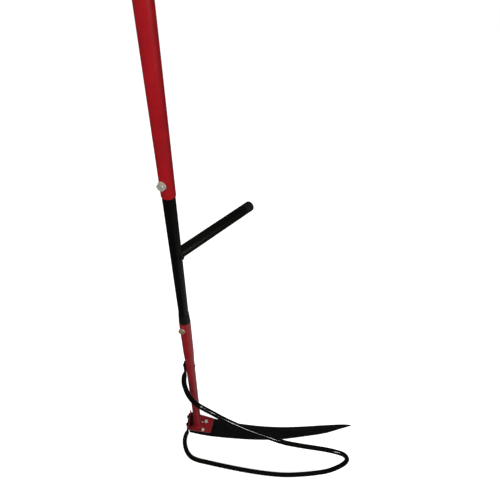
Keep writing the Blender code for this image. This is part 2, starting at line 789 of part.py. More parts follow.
def make_bow_top_rivet():
    """Rivet through the bow's tab and both walls of the lower tube: large head outside the tab."""
    tab = GAP + 2 * BOW_FLAT_HALF_THICK
    near = -RED_TUBE_R - tab - GAP
    far = RED_TUBE_R + GAP
    shank = BOW_RIVET["shank"]
    profile = (
        *reversed(dome(BOW_RIVET["head_r"], near, -BOW_RIVET["head"])),
        (shank, near),
        (shank, far),
        *dome(BOW_RIVET["far_r"], far, BOW_RIVET["far"]),
    )
    turned("bow_top_rivet", profile, "black_paint", along((0, 0, BOW_TOP_RIVET_Z), (1, 0, 0)), HOLE_SIDES)


def make_heel_fasteners(bow, bracket, near, far, inward):
    """Two hex bolts from outside the bow's heel tab, with washers and nuts inside the flange."""
    tab = 2 * BOW_FLAT_HALF_THICK + GAP
    stack = BRACKET_THICK + tab
    outside = near - inward * (stack + GAP)
    grip = stack + M6["washer"] + M6["nut"] + 4 * GAP + 0.0018
    for index, reach in enumerate(FLANGE_BOLTS_S, 1):
        spot = outside + far * reach
        place = along((spot.x, spot.y, FLANGE_BOLT_Z), inward)
        hex_bolt(f"bow_heel_bolt_{index}", M6, grip, "black_paint", place)
        flat_washer(f"bow_heel_washer_{index}", M6, stack + 2 * GAP, "black_paint", place)
        hex_nut(f"bow_heel_nut_{index}", M6, stack + M6["washer"] + 3 * GAP, "black_paint", place)
        drill((bow, bracket), f"heel_hole_{index}", M6["shank"] + GAP, 0.012, place, "MANIFOLD")


# ---------------------------------------------------------------- assembly


def main():
    clear_scene()
    make_tubes()
    make_top_cap()
    make_joint_fasteners("upper", UPPER_BOLT_Z, RED_TUBE_R, "zinc")
    make_joint_fasteners("lower", LOWER_BOLT_Z, SOCKET_R, "yellow_zinc")
    make_side_handle()
    make_blade()
    bracket, near, far, inward = make_bracket()
    make_foot_weld()
    make_blade_fasteners()
    bow = make_bow(near, far, inward)
    make_bow_top_rivet()
    make_heel_fasteners(bow, bracket, near, far, inward)


main()
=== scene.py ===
"""The looks of a long-handled scythe: painted take-down tubes with a side handle, a black
sickle blade on a bent red plate, and a bent tube bow that gathers the cut crop.

Metres, in the frame's own axes: +X along the blade to its tip, +Y to its cutting edge,
+Z up the handle, and the origin where the handle's axis meets the blade's underside.
"""

import math

import bmesh
import bpy
from mathutils import Matrix, Vector


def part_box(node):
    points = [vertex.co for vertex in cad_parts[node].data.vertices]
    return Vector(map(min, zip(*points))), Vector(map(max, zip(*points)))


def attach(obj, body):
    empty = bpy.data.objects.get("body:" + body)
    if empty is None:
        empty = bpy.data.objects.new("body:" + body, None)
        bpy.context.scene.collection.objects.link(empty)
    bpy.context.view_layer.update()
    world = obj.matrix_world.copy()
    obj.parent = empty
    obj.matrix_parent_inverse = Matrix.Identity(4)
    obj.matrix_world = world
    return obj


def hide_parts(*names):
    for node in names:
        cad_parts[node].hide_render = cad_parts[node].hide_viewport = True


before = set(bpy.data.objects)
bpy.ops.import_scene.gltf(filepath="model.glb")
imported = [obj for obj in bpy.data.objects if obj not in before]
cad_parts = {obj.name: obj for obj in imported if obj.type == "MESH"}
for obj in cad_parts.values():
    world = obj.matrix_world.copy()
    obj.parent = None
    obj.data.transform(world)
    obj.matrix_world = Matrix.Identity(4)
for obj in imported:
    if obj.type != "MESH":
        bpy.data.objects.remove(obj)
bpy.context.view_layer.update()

GAP = 0.0003

# Handle
RED_TUBE_R = 0.0127
RED_TUBE_WALL = 0.0009
SOCKET_R = 0.0139
SOCKET_LENGTH = 0.150
SOCKET_TAPER = 0.060
BLACK_TUBE_R = 0.0115
BLACK_TUBE_WALL = 0.0012
RIM_EASE = 0.00035
TUBE_SIDES = 96
JOINT_BOLT_TURN = math.radians(70)
JOINT_NUT_REACH = 0.0065
JOINT_BOLT_PROUD = 0.0025
JOINT_BOLT_THREADED = 0.014
BUSH_COLLAR = 0.034
TOP_CAP_RIBS = 3
TOP_CAP_RIB_PITCH = 0.0045
SIDE_HANDLE_TURN = math.radians(50)
SIDE_HANDLE_REACH = 0.190
SIDE_CAP_CROWN = 0.0075
SIDE_CAP_STEM = 0.016

# Fasteners: radius of the shank, width across flats, head, nut and washer, and thread pitch
M8 = {
    "shank": 0.0040, "flats": 0.0130, "head": 0.0053, "nut": 0.0065,
    "washer_r": 0.0080, "washer": 0.0016, "pitch": 0.00125,
}
M6 = {
    "shank": 0.0030, "flats": 0.0100, "head": 0.0040, "nut": 0.0050,
    "washer_r": 0.0060, "washer": 0.0012, "pitch": 0.0010,
}
THREAD_DEPTH_SHARE = 0.61
HEEL_STUD_PROUD = 0.0018
BLADE_STUD_PROUD = 0.0015
CROWN_SHARE = 0.94
CROWN_SLOPE = math.tan(math.radians(30))
HEX_SIDES = 72

# Blade and bracket
BLADE_THICK = 0.0025
BLADE_EDGE_THICK = 0.0005
BLADE_BEVEL = 0.013
BLADE_BACK = (
    (-0.0300, -0.0280), (0.0300, -0.0352), (0.1000, -0.0380), (0.2000, -0.0372), (0.3000, -0.0298),
    (0.4000, -0.0112), (0.4800, 0.0066), (0.5420, 0.0280), (0.5740, 0.0390),
)
BLADE_CUT = (
    (-0.0300, 0.0395), (0.0550, 0.0285), (0.1400, 0.0180), (0.2300, 0.0142), (0.3000, 0.0158),
    (0.3750, 0.0225), (0.4700, 0.0350), (0.5420, 0.0438), (0.5740, 0.0448),
)
BLADE_TIP = (0.5815, 0.0425)
BLADE_STATIONS = 240
BLADE_WAVE = 0.00006
COUNTERSINK_R = 0.0050
COUNTERSINK_RIM = 0.0002
BRACKET_THICK = 0.003
BRACKET_OUTLINE = (
    (-0.0285, -0.0220), (0.0500, -0.0265), (0.0577, 0.0270), (0.0040, 0.0368), (-0.0313, 0.0440),
)
BRACKET_CORNER_R = 0.004
BRACKET_EASE = 0.00045
FLANGE_HEIGHT = 0.027
FLANGE_BEND_R = 0.004
RIVET_HEAD_R = 0.0032
RIVET_HEAD = 0.0022
FOOT_BEAD_R = 0.0024
SIDE_BEAD_R = 0.0040
BEAD_RIPPLE = 0.0017
BEAD_GRAIN = 230.0

# Bow: a bent tube whose two ends are pressed flat
BOW_R = 0.0075
BOW_HALF_THICK = 0.0025
BOW_HALF_WIDTH = 0.0090
BOW_TOP_RIVET_Z = 0.496
BOW_TAB_END = 0.0115
BOW_TOP_FLAT = 0.044
BOW_TOP_FLATTENING = 0.026
BOW_FOOT_FLAT = 0.056
BOW_FOOT_FLATTENING = 0.014
BOW_RIVET = {"shank": 0.0030, "head_r": 0.0048, "head": 0.0026, "far_r": 0.0042, "far": 0.0016}
BOW_STEP = 0.003
BOW_SIDES = 28
FLANGE_BOLTS_S = (0.0170, 0.0440)
FLANGE_BOLT_Z = 0.0150
BOW_ARM = (
    (-0.0155, -0.0005, 0.4640), (-0.0190, -0.0085, 0.4440), (-0.0200, -0.0180, 0.4240),
    (-0.0165, -0.0260, 0.4020), (-0.0080, -0.0345, 0.3700), (0.0060, -0.0425, 0.3445),
    (0.0250, -0.0485, 0.3245), (0.0650, -0.0575, 0.2990), (0.1120, -0.0665, 0.2675),
    (0.1760, -0.0765, 0.2325), (0.2450, -0.0845, 0.2020), (0.3000, -0.0910, 0.1810),
    (0.3600, -0.0945, 0.1705), (0.4330, -0.0970, 0.1620),
)
BOW_NOSE = (
    (0.4775, -0.0998, 0.1530), (0.5072, -0.1035, 0.1405), (0.5217, -0.1110, 0.1150),
    (0.5102, -0.1205, 0.0850), (0.4735, -0.1310, 0.0465), (0.4250, -0.1370, 0.0220),
)
BOW_RUN = (
    (0.3700, -0.1430, 0.0120), (0.3240, -0.1468, 0.0105), (0.2720, -0.1470, 0.0105),
    (0.2150, -0.1442, 0.0105), (0.1570, -0.1392, 0.0105), (0.1000, -0.1328, 0.0105),
    (0.0450, -0.1258, 0.0105), (0.0190, -0.1222, 0.0107), (-0.0040, -0.1150, 0.0110),
    (-0.0190, -0.1036, 0.0113), (-0.0300, -0.0880, 0.0117), (-0.0375, -0.0680, 0.0120),
    (-0.0385, -0.0480, 0.0125),
)

# Paint, steel and plastic
RED = (0.350, 0.0055, 0.0100)
RED_DEEP = (0.285, 0.0040, 0.0078)
# The lower tube's red: darker than the handle's red as painted shade, and greyer from dust.
FOOT_RED_SHADED = (0.290, 0.0100, 0.0165)
# The bracket plate's reds: the handle's red darkened as painted shade.
PLATE_RED_SHADED = (0.190, 0.0036, 0.0075)
PLATE_RED_SHADED_DEEP = (0.145, 0.0028, 0.0056)
BLACK = (0.0021, 0.0025, 0.0016)
BLACK_DEEP = (0.0013, 0.0016, 0.0010)
DUST = (0.300, 0.255, 0.220)
# Near-black for the painted shade in the bracket's hollow by its heel flange
PAINTED_SHADE_TONE = (0.0060, 0.0030, 0.0030)
BARE_STEEL = (0.300, 0.290, 0.275)

# Studio
EYE = (0.1423, -0.5030, 1.5637)
LOOK_DOWN = math.radians(48.12)
CAMERA_ROLL = math.radians(4.56)
FLOOR_HALF = 9.0
FLOOR_DROP = 0.0004
LENS = 28.8
SENSOR = 36.0


# ---------------------------------------------------------------- node helpers


def add(tree, kind, sources=None, **settings):
    """Adds a node. sources gives its inputs, by name or number, a socket to link or a value."""
    node = tree.nodes.new(kind)
    for key, value in settings.items():
        setattr(node, key, value)
    for key, value in (sources or {}).items():
        if isinstance(value, bpy.types.NodeSocket):
            tree.links.new(value, node.inputs[key])
        else:
            node.inputs[key].default_value = value
    return node


def maths(tree, operation, first, second=0.0, third=0.0, clamped=False):
    sources = {0: first, 1: second, 2: third}
    return add(tree, "ShaderNodeMath", sources, operation=operation, use_clamp=clamped).outputs[0]


def vectors(tree, operation, first, second=(0, 0, 0)):
    node = add(tree, "ShaderNodeVectorMath", {0: first}, operation=operation)
    if operation == "SCALE":
        key = "Scale"
    else:
        key = 1
    if isinstance(second, bpy.types.NodeSocket):
        tree.links.new(second, node.inputs[key])
    else:
        node.inputs[key].default_value = second
    return node.outputs["Value" if operation in ("DOT_PRODUCT", "LENGTH") else "Vector"]


def spread(tree, value, low, high, to_low=0.0, to_high=1.0):
    """The value's stretch from low to high, mapped and held between to_low and to_high."""
    sources = {"Value": value, 1: low, 2: high, 3: to_low, 4: to_high}
    return add(tree, "ShaderNodeMapRange", sources, clamp=True).outputs[0]


# ---------------------------------------------------------------- finishes


def new_finish(name):
    made = bpy.data.materials.new(name)
    made.use_nodes = True
    return made, made.node_tree, made.node_tree.nodes["Principled BSDF"]


def grain(tree, where, scale, detail=2.0, stretch=None, roughness=0.5):
    """Noise over the object's own coordinates, finer along an axis where stretch is larger."""
    if stretch is not None:
        where = add(tree, "ShaderNodeMapping", {"Vector": where, "Scale": stretch}).outputs[0]
    sources = {"Vector": where, "Scale": scale, "Detail": detail, "Roughness": roughness}
    return add(tree, "ShaderNodeTexNoise", sources).outputs["Fac"]


def tint(tree, factor, first, second):
    """Colour that goes from first to second. Either may be a colour or a socket."""
    node = add(tree, "ShaderNodeMix", {0: factor}, data_type="RGBA")
    for key, value in ((6, first), (7, second)):
        if isinstance(value, bpy.types.NodeSocket):
            tree.links.new(value, node.inputs[key])
        else:
            node.inputs[key].default_value = (*value, 1.0)
    return node.outputs[2]


def relief(tree, shader, height, strength, distance):
    bump = add(tree, "ShaderNodeBump", {"Height": height, "Strength": strength, "Distance": distance})
    tree.links.new(bump.outputs["Normal"], shader.inputs["Normal"])


def worn_edge(tree, where, coverage):
    """Chips of lost paint, where a mesh's own wear attribute marks its rims and edges."""
    wear = add(tree, "ShaderNodeAttribute", attribute_name="wear").outputs["Fac"]
    speckle = grain(tree, where, 420, 4, roughness=0.7)
    mark = maths(tree, "ADD", wear, speckle)
    return spread(tree, mark, 1.62 - coverage, 1.68 - coverage)


def painted(name, colour, deep, gloss, specular, dust, coverage, chipped=None, shade_mask=None):
    """Brushed-on or sprayed paint: orange peel, uneven depth, dust, rub marks and chipped edges, and painted
    shade where a shade mask is given.
    """
    made, tree, shader = new_finish(name)
    where = add(tree, "ShaderNodeTexCoord").outputs["Object"]
    depth = grain(tree, where, 34, 4, roughness=0.6)
    tone = tint(tree, spread(tree, depth, 0.34, 0.66), deep, colour)
    rubs = grain(tree, where, 26, 3, (16, 16, 1.1), 0.65)
    rub_mask = spread(tree, rubs, 0.60, 0.74)
    haze = grain(tree, where, 11, 5, roughness=0.65)
    dust_mask = maths(tree, "MULTIPLY", spread(tree, haze, 0.42, 0.72), dust)
    film = maths(tree, "MULTIPLY_ADD", rub_mask, dust * 0.8, dust_mask)
    tone = tint(tree, film, tone, DUST)
    # Painted shade: where the shade mask lies, the tone goes toward a near-black.
    if shade_mask is not None:
        tone = tint(tree, shade_mask(tree, where), tone, PAINTED_SHADE_TONE)
    chips = worn_edge(tree, where, coverage)
    if chipped is not None:
        chips = maths(tree, "MAXIMUM", chips, chipped(tree, where))
    tree.links.new(tint(tree, chips, tone, BARE_STEEL), shader.inputs["Base Color"])
    satin = maths(tree, "MULTIPLY_ADD", haze, 0.12, gloss - 0.06)
    satin = maths(tree, "MULTIPLY_ADD", rub_mask, 0.10, satin)
    satin = maths(tree, "MULTIPLY_ADD", chips, 0.18, satin, clamped=True)
    tree.links.new(satin, shader.inputs["Roughness"])
    tree.links.new(maths(tree, "MULTIPLY", chips, 0.85), shader.inputs["Metallic"])
    shader.inputs["Specular IOR Level"].default_value = specular
    peel = grain(tree, where, 620, 2)
    drops = maths(tree, "MULTIPLY_ADD", chips, -1.4, peel)
    relief(tree, shader, drops, 0.22, 0.00012)
    return made


def near_line(tree, where, start, end):
    """Distance in plan from the straight line through two points, counted to its left."""
    run = Vector((end[0] - start[0], end[1] - start[1], 0)).normalized()
    left = (-run.y, run.x, 0.0)
    offset = start[0] * left[0] + start[1] * left[1]
    return maths(tree, "SUBTRACT", vectors(tree, "DOT_PRODUCT", where, left), offset)


def bracket_chips(tree, where):
    """Paint lost along the plate's cut edges."""
    lines = list(zip(BRACKET_OUTLINE, BRACKET_OUTLINE[1:]))
    closest = 1.0
    for start, end in lines:
        closest = maths(tree, "MINIMUM", near_line(tree, where, start, end), closest)
    rim = spread(tree, closest, 0.0002, 0.0020, 1.0, 0.0)
    speckle = grain(tree, where, 380, 4, roughness=0.7)
    return spread(tree, maths(tree, "ADD", rim, speckle), 1.40, 1.46)


def bend_painted_shade(tree, where):
    """Painted shade: a patchy darkening of the plate between the heel flange and the foot of the tube, in the
    hollow where shade falls.
    """
    inside = near_line(tree, where, BRACKET_OUTLINE[-1], BRACKET_OUTLINE[0])
    from_bend = spread(tree, inside, -0.0006, 0.0010)
    to_foot = spread(tree, inside, 0.0095, 0.0175, 1.0, 0.0)
    band = maths(tree, "MULTIPLY", from_bend, to_foot)
    cloud = spread(tree, grain(tree, where, 95, 4, roughness=0.6), 0.24, 0.46)
    along_heel = near_line(tree, where, BRACKET_OUTLINE[0], BRACKET_OUTLINE[1])
    clear_end = spread(tree, along_heel, 0.009, 0.020)
    mask = maths(tree, "MULTIPLY", maths(tree, "MULTIPLY", band, cloud), clear_end)
    return maths(tree, "MULTIPLY", mask, 0.88)


def blackened_blade(name):
    """Heat-blackened steel: mottled scale, grinding lines across the bevel and rubbed edges."""
    made, tree, shader = new_finish(name)
    where = add(tree, "ShaderNodeTexCoord").outputs["Object"]
    scale_marks = grain(tree, where, 75, 6, roughness=0.7)
    tone = tint(
        tree, spread(tree, scale_marks, 0.35, 0.68), (0.0016, 0.0020, 0.0017), (0.0042, 0.0050, 0.0045),
    )
    ground = add(tree, "ShaderNodeAttribute", attribute_name="ground").outputs["Fac"]
    lines = grain(tree, where, 60, 3, (42, 1.3, 6), 0.7)
    lines = maths(tree, "MULTIPLY", spread(tree, lines, 0.35, 0.75), ground)
    tone = tint(tree, maths(tree, "MULTIPLY", lines, 0.5), tone, (0.013, 0.013, 0.013))
    rolled = grain(tree, where, 30, 3, (1.2, 26, 6), 0.6)
    tone = tint(tree, spread(tree, rolled, 0.58, 0.80, 0.0, 0.30), tone, (0.009, 0.009, 0.009))
    rubbed = worn_edge(tree, where, 0.34)
    tree.links.new(tint(tree, rubbed, tone, (0.20, 0.195, 0.185)), shader.inputs["Base Color"])
    rough = maths(tree, "MULTIPLY_ADD", scale_marks, 0.30, 0.30)
    rough = maths(tree, "MULTIPLY_ADD", lines, -0.10, rough)
    tree.links.new(rough, shader.inputs["Roughness"])
    tree.links.new(spread(tree, rubbed, 0.0, 1.0, 0.12, 1.0), shader.inputs["Metallic"])
    shader.inputs["Specular IOR Level"].default_value = 0.18
    height = maths(tree, "MULTIPLY_ADD", lines, 0.6, scale_marks)
    relief(tree, shader, height, 0.35, 0.00015)
    return made


def moulded_plastic(name):
    """Matt black moulding with a fine spark texture."""
    made, tree, shader = new_finish(name)
    where = add(tree, "ShaderNodeTexCoord").outputs["Object"]
    spark = grain(tree, where, 1500, 3, roughness=0.6)
    haze = grain(tree, where, 40, 4)
    tone = tint(tree, spread(tree, haze, 0.40, 0.70), (0.0048, 0.0050, 0.0044), (0.0095, 0.0096, 0.0086))
    chips = worn_edge(tree, where, 0.10)
    tree.links.new(tint(tree, chips, tone, (0.045, 0.045, 0.042)), shader.inputs["Base Color"])
    tree.links.new(maths(tree, "MULTIPLY_ADD", haze, 0.18, 0.40), shader.inputs["Roughness"])
    shader.inputs["Specular IOR Level"].default_value = 0.28
    relief(tree, shader, spark, 0.25, 0.00008)
    return made


def plated(name, bright, dull, stain, roughness):
    """Zinc-plated steel: cloudy plating, fine handling scratches and scattered stains."""
    made, tree, shader = new_finish(name)
    where = add(tree, "ShaderNodeTexCoord").outputs["Object"]
    cloud = grain(tree, where, 260, 4, roughness=0.6)
    tone = tint(tree, spread(tree, cloud, 0.36, 0.64), dull, bright)
    stains = grain(tree, where, 700, 5, roughness=0.7)
    tone = tint(tree, spread(tree, stains, 0.58, 0.70, 0.0, 0.7), tone, stain)
    tree.links.new(tone, shader.inputs["Base Color"])
    scratches = grain(tree, where, 900, 2, (1, 0.12, 3), 0.6)
    rough = maths(tree, "MULTIPLY_ADD", cloud, 0.18, roughness - 0.09)
    tree.links.new(maths(tree, "MULTIPLY_ADD", scratches, 0.10, rough), shader.inputs["Roughness"])
    shader.inputs["Metallic"].default_value = 0.60
    relief(tree, shader, maths(tree, "ADD", scratches, stains), 0.20, 0.00005)
    return made


def make_finishes():
    return {
        "handle_red": painted("handle_red", RED, RED_DEEP, 0.36, 0.34, 0.010, 0.02),
        # Lower tube: its darker red is painted shade; its heavier film is dust.
        "foot_red_dust_and_shade": painted("foot_red_dust_and_shade", FOOT_RED_SHADED, RED_DEEP, 0.30, 0.46, 0.070, 0.02),
        # The plate's darker red and the dark patch by its heel flange are painted shade.
        "plate_red_shaded": painted(
            "plate_red_shaded", PLATE_RED_SHADED, PLATE_RED_SHADED_DEEP, 0.44, 0.20, 0.012, 0.0, bracket_chips, bend_painted_shade,
        ),
        "tube_black": painted("tube_black", BLACK, BLACK_DEEP, 0.30, 0.22, 0.006, 0.0),
        "bow_black": painted("bow_black", BLACK, BLACK_DEEP, 0.11, 0.34, 0.004, 0.02),
        "bolt_black": painted("bolt_black", BLACK, BLACK_DEEP, 0.34, 0.34, 0.012, 0.10),
        "blade_black": blackened_blade("blade_black"),
        "cap_black": moulded_plastic("cap_black"),
        "zinc": plated("zinc", (0.86, 0.82, 0.72), (0.70, 0.67, 0.58), (0.34, 0.31, 0.24), 0.30),
        "yellow_zinc": plated(
            "yellow_zinc", (0.60, 0.38, 0.20), (0.44, 0.28, 0.15), (0.26, 0.14, 0.08), 0.36,
        ),
    }


FINISH = make_finishes()


# ---------------------------------------------------------------- mesh helpers


def link(name, mesh):
    made = bpy.data.objects.new(name, mesh)
    bpy.context.scene.collection.objects.link(made)
    return made


def piece(name, mesh, finish, nodes, crease=32):
    """A finished piece at the origin: smooth with crisp creases, riding on the tool's one body."""
    mesh.materials.clear()
    mesh.materials.append(FINISH[finish])
    mesh.shade_smooth()
    mesh.set_sharp_from_angle(angle=math.radians(crease))
    made = link(name, mesh)
    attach(made, "root")
    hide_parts(*nodes)
    return made


def as_mesh(name, bm):
    bmesh.ops.remove_doubles(bm, verts=bm.verts, dist=1e-7)
    bmesh.ops.recalc_face_normals(bm, faces=bm.faces)
    mesh = bpy.data.meshes.new(name)
    bm.to_mesh(mesh)
    bm.free()
    return mesh


def evaluated(obj):
    """The plain mesh that an object's modifiers give; the object goes."""
    graph = bpy.context.evaluated_depsgraph_get()
    mesh = bpy.data.meshes.new_from_object(obj.evaluated_get(graph))
    obj.modifiers.clear()
    bpy.data.objects.remove(obj)
    return mesh


def softened(mesh, width, segments=2, angle=28):
    """The mesh with its sharp edges bevelled."""
    holder = link("softening", mesh)
    bevel = holder.modifiers.new("edges", "BEVEL")
    bevel.width = width
    bevel.segments = segments
    bevel.limit_method = "ANGLE"
    bevel.angle_limit = math.radians(angle)
    bevel.use_clamp_overlap = True
    return evaluated(holder)


def skin(rings, sides, closed=False, place=None, bm=None):
    """One skin round local Z. A ring is (radius, height[, wear]) or a function of the angle that gives it."""
    bm = bm or bmesh.new()
    wear = bm.verts.layers.float.get("wear") or bm.verts.layers.float.new("wear")
    place = place or Matrix.Identity(4)
    made = []
    for ring in rings:
        steps = 1 if not callable(ring) and ring[0] == 0 else sides
        verts = []
        for step in range(steps):
            angle = 2 * math.pi * step / sides
            point = ring(angle) if callable(ring) else ring
            spot = Vector((point[0] * math.cos(angle), point[0] * math.sin(angle), point[1]))
            vert = bm.verts.new(place @ spot)
            vert[wear] = point[2] if len(point) > 2 else 0.0
            verts.append(vert)
        made.append(verts)
    pairs = list(zip(made, made[1:]))
    if closed:
        pairs.append((made[-1], made[0]))
    for low, high in pairs:
        for step in range(sides):
            following = (step + 1) % sides
            if len(low) == 1:
                bm.faces.new((low[0], high[following], high[step]))
            elif len(high) == 1:
                bm.faces.new((low[step], low[following], high[0]))
            else:
                bm.faces.new((low[step], low[following], high[following], high[step]))
    return bm


def soft_profile(corners, closed, steps=3):
    """Rounds each (radius, height, ease) corner; arcs count as worn, with unworn points close by."""
    count = len(corners)
    profile = []
    for index, (radius, height, ease) in enumerate(corners):
        at_end = not closed and index in (0, count - 1)
        if at_end or ease == 0:
            profile.append((radius, height, 0.0))
            continue
        corner = Vector((radius, height))
        before = Vector(corners[index - 1][:2]) - corner
        after = Vector(corners[(index + 1) % count][:2]) - corner
        half = before.angle(after) / 2
        centre = corner + (before.normalized() + after.normalized()).normalized() * ease / math.sin(half)
        setback = ease / math.tan(half)
        start = corner + before.normalized() * setback
        end = corner + after.normalized() * setback
        lead = min(0.0022, before.length * 0.4)
        tail = min(0.0022, after.length * 0.4)
        if lead > setback:
            profile.append((*(corner + before.normalized() * lead), 0.0))
        for step in range(steps + 1):
            share = step / steps
            spoke = ((start - centre) * (1 - share) + (end - centre) * share).normalized()
            profile.append((*(centre + spoke * ease), 1.0))
        if tail > setback:
            profile.append((*(corner + after.normalized() * tail), 0.0))
    return profile


def rounded(outline, radius, steps=6):
    """The outline, run anticlockwise, with each corner turned into an arc."""
    points = []
    for index, spot in enumerate(outline):
        corner = Vector(spot)
        before = (Vector(outline[index - 1]) - corner).normalized()
        after = (Vector(outline[(index + 1) % len(outline)]) - corner).normalized()
        half = before.angle(after) / 2
        centre = corner + (before + after).normalized() * radius / math.sin(half)
        start = corner + before * radius / math.tan(half) - centre
        for step in range(steps + 1):
            turn = Matrix.Rotation((math.pi - 2 * half) * step / steps, 2)
            points.append(centre + turn @ start)
    return points


def smooth_path(points, per_span):
    """Catmull-Rom curve through the points, finely stepped."""
    ends = [points[0] * 2 - points[1]] + points + [points[-1] * 2 - points[-2]]
    path = []
    for index in range(1, len(ends) - 2):
        a, b, c, d = ends[index - 1 : index + 3]
        for step in range(per_span):
            t = step / per_span
            bend = 2 * b + (c - a) * t + (2 * a - 5 * b + 4 * c - d) * t**2
            path.append(0.5 * (bend + (3 * b - a - 3 * c + d) * t**3))
    path.append(points[-1].copy())
    return path


def even_path(path, spacing):
    """The same path with evenly spaced points, and each point's distance along it."""
    lengths = [0.0]
    for before, after in zip(path, path[1:]):
        lengths.append(lengths[-1] + (after - before).length)
    count = max(2, round(lengths[-1] / spacing))
    points, marks, index = [], [], 0
    for step in range(count + 1):
        mark = lengths[-1] * step / count
        while index < len(lengths) - 2 and lengths[index + 1] < mark:
            index += 1
        share = (mark - lengths[index]) / (lengths[index + 1] - lengths[index])
        points.append(path[index].lerp(path[index + 1], share))
        marks.append(mark)
    return points, marks


def ramp(value):
    value = min(1.0, max(0.0, value))
    return value * value * (3 - 2 * value)


def curve_height(path, across):
    """Height of a stepped curve at the abscissa across."""
    for before, after in zip(path, path[1:]):
        if before.x <= across <= after.x:
            return before.lerp(after, (across - before.x) / (after.x - before.x)).y
    return path[-1].y


def centre_of(node):
    low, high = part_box(node)
    return (low + high) / 2


# ---------------------------------------------------------------- geometry trees


def new_tree(name, inputs):
    """A geometry tree with its geometry and named inputs, and the node that hands them out."""
    tree = bpy.data.node_groups.new(name, "GeometryNodeTree")
    tree.interface.new_socket("Geometry", in_out="INPUT", socket_type="NodeSocketGeometry")
    tree.interface.new_socket("Geometry", in_out="OUTPUT", socket_type="NodeSocketGeometry")
    for label, kind in inputs.items():
        tree.interface.new_socket(label, in_out="INPUT", socket_type=f"NodeSocket{kind}")
    return tree, tree.nodes.new("NodeGroupInput").outputs


def close_tree(tree, geometry, given):
    """Ends a tree: smooth, realised and in its material."""
    smooth = add(tree, "GeometryNodeSetShadeSmooth", {"Geometry": geometry}).outputs[0]
    real = add(tree, "GeometryNodeRealizeInstances", {0: smooth}).outputs[0]
    done = add(tree, "GeometryNodeSetMaterial", {"Geometry": real, "Material": given["Material"]}).outputs[0]
    add(tree, "NodeGroupOutput", {0: done})
    return tree


def attribute(tree, name, data_type="FLOAT"):
    return add(tree, "GeometryNodeInputNamedAttribute", {"Name": name}, data_type=data_type).outputs[0]


def grown(tree, seed, values):
    """Runs a geometry tree on a seed mesh and returns the plain mesh that it makes."""
    holder = link("seed", seed)
    modifier = holder.modifiers.new(tree.name, "NODES")
    modifier.node_group = tree
    for item in tree.interface.items_tree:
        if item.in_out == "INPUT" and item.name in values:
            modifier[item.identifier] = values[item.name]
    return evaluated(holder)


def seed_mesh(points, edges=(), floats=None, directions=None):
    """Points, and the edges that join them, with named values and directions on each point."""
    mesh = bpy.data.meshes.new("seed")
    mesh.from_pydata([tuple(point) for point in points], list(edges), [])
    for name, values in (floats or {}).items():
        layer = mesh.attributes.new(name, "FLOAT", "POINT")
        layer.data.foreach_set("value", values)
    for name, values in (directions or {}).items():
        layer = mesh.attributes.new(name, "FLOAT_VECTOR", "POINT")
        layer.data.foreach_set("vector", [part for value in values for part in value])
    return mesh


def thread_tree():
    """A threaded length up local Z: a cylinder whose radius follows the thread's helix."""
    inputs = {
        "Radius": "Float", "Pitch": "Float", "Depth": "Float", "Length": "Float",
        "Chamfer": "Float", "Rows": "Int", "Sides": "Int", "Material": "Material",
    }
    tree, given = new_tree("threaded length", inputs)
    blank = add(
        tree, "GeometryNodeMeshCylinder",
        {
            "Vertices": given["Sides"], "Side Segments": given["Rows"],
            "Radius": given["Radius"], "Depth": given["Length"],
        },
    ).outputs["Mesh"]
    place = add(tree, "GeometryNodeInputPosition").outputs[0]
    parts = add(tree, "ShaderNodeSeparateXYZ", {0: place}).outputs
    turn = maths(tree, "DIVIDE", maths(tree, "ARCTAN2", parts["Y"], parts["X"]), 2 * math.pi)
    climb = maths(tree, "DIVIDE", parts["Z"], given["Pitch"])
    phase = maths(tree, "FRACT", maths(tree, "SUBTRACT", climb, turn))
    flank = maths(tree, "ABSOLUTE", maths(tree, "MULTIPLY_ADD", phase, 2.0, -1.0))
    flank = spread(tree, flank, 0.12, 0.88)
    cut = maths(tree, "MULTIPLY", flank, given["Depth"])
    half = maths(tree, "MULTIPLY", given["Length"], 0.5)
    to_end = maths(tree, "SUBTRACT", half, parts["Z"])
    point = maths(tree, "MAXIMUM", maths(tree, "SUBTRACT", given["Chamfer"], to_end), cut)
    share = maths(tree, "DIVIDE", maths(tree, "SUBTRACT", given["Radius"], point), given["Radius"])
    lifted = maths(tree, "ADD", parts["Z"], half)
    drawn_x = maths(tree, "MULTIPLY", parts["X"], share)
    drawn_y = maths(tree, "MULTIPLY", parts["Y"], share)
    moved = add(tree, "ShaderNodeCombineXYZ", {0: drawn_x, 1: drawn_y, 2: lifted}).outputs[0]
    shaped = add(tree, "GeometryNodeSetPosition", {"Geometry": blank, "Position": moved}).outputs[0]
    return close_tree(tree, shaped, given)


def set_out_tree():
    """Sets a copy of a pattern on each point, its local Z along the point's aim, turned by its turn."""
    tree, given = new_tree("set out copies", {"Pattern": "Object", "Material": "Material"})
    pattern = add(tree, "GeometryNodeObjectInfo", {"Object": given["Pattern"]}).outputs["Geometry"]
    aim = add(
        tree, "FunctionNodeAlignRotationToVector",
        {"Vector": attribute(tree, "aim", "FLOAT_VECTOR")}, axis="Z",
    ).outputs[0]
    spun = add(tree, "ShaderNodeCombineXYZ", {2: attribute(tree, "turn")}).outputs[0]
    own = add(tree, "FunctionNodeEulerToRotation", {0: spun}).outputs[0]
    turned = add(
        tree, "FunctionNodeRotateRotation", {"Rotation": aim, "Rotate By": own}, rotation_space="LOCAL",
    ).outputs[0]
    copies = add(
        tree, "GeometryNodeInstanceOnPoints",
        {"Points": given["Geometry"], "Instance": pattern, "Rotation": turned},
    ).outputs[0]
    return close_tree(tree, copies, given)


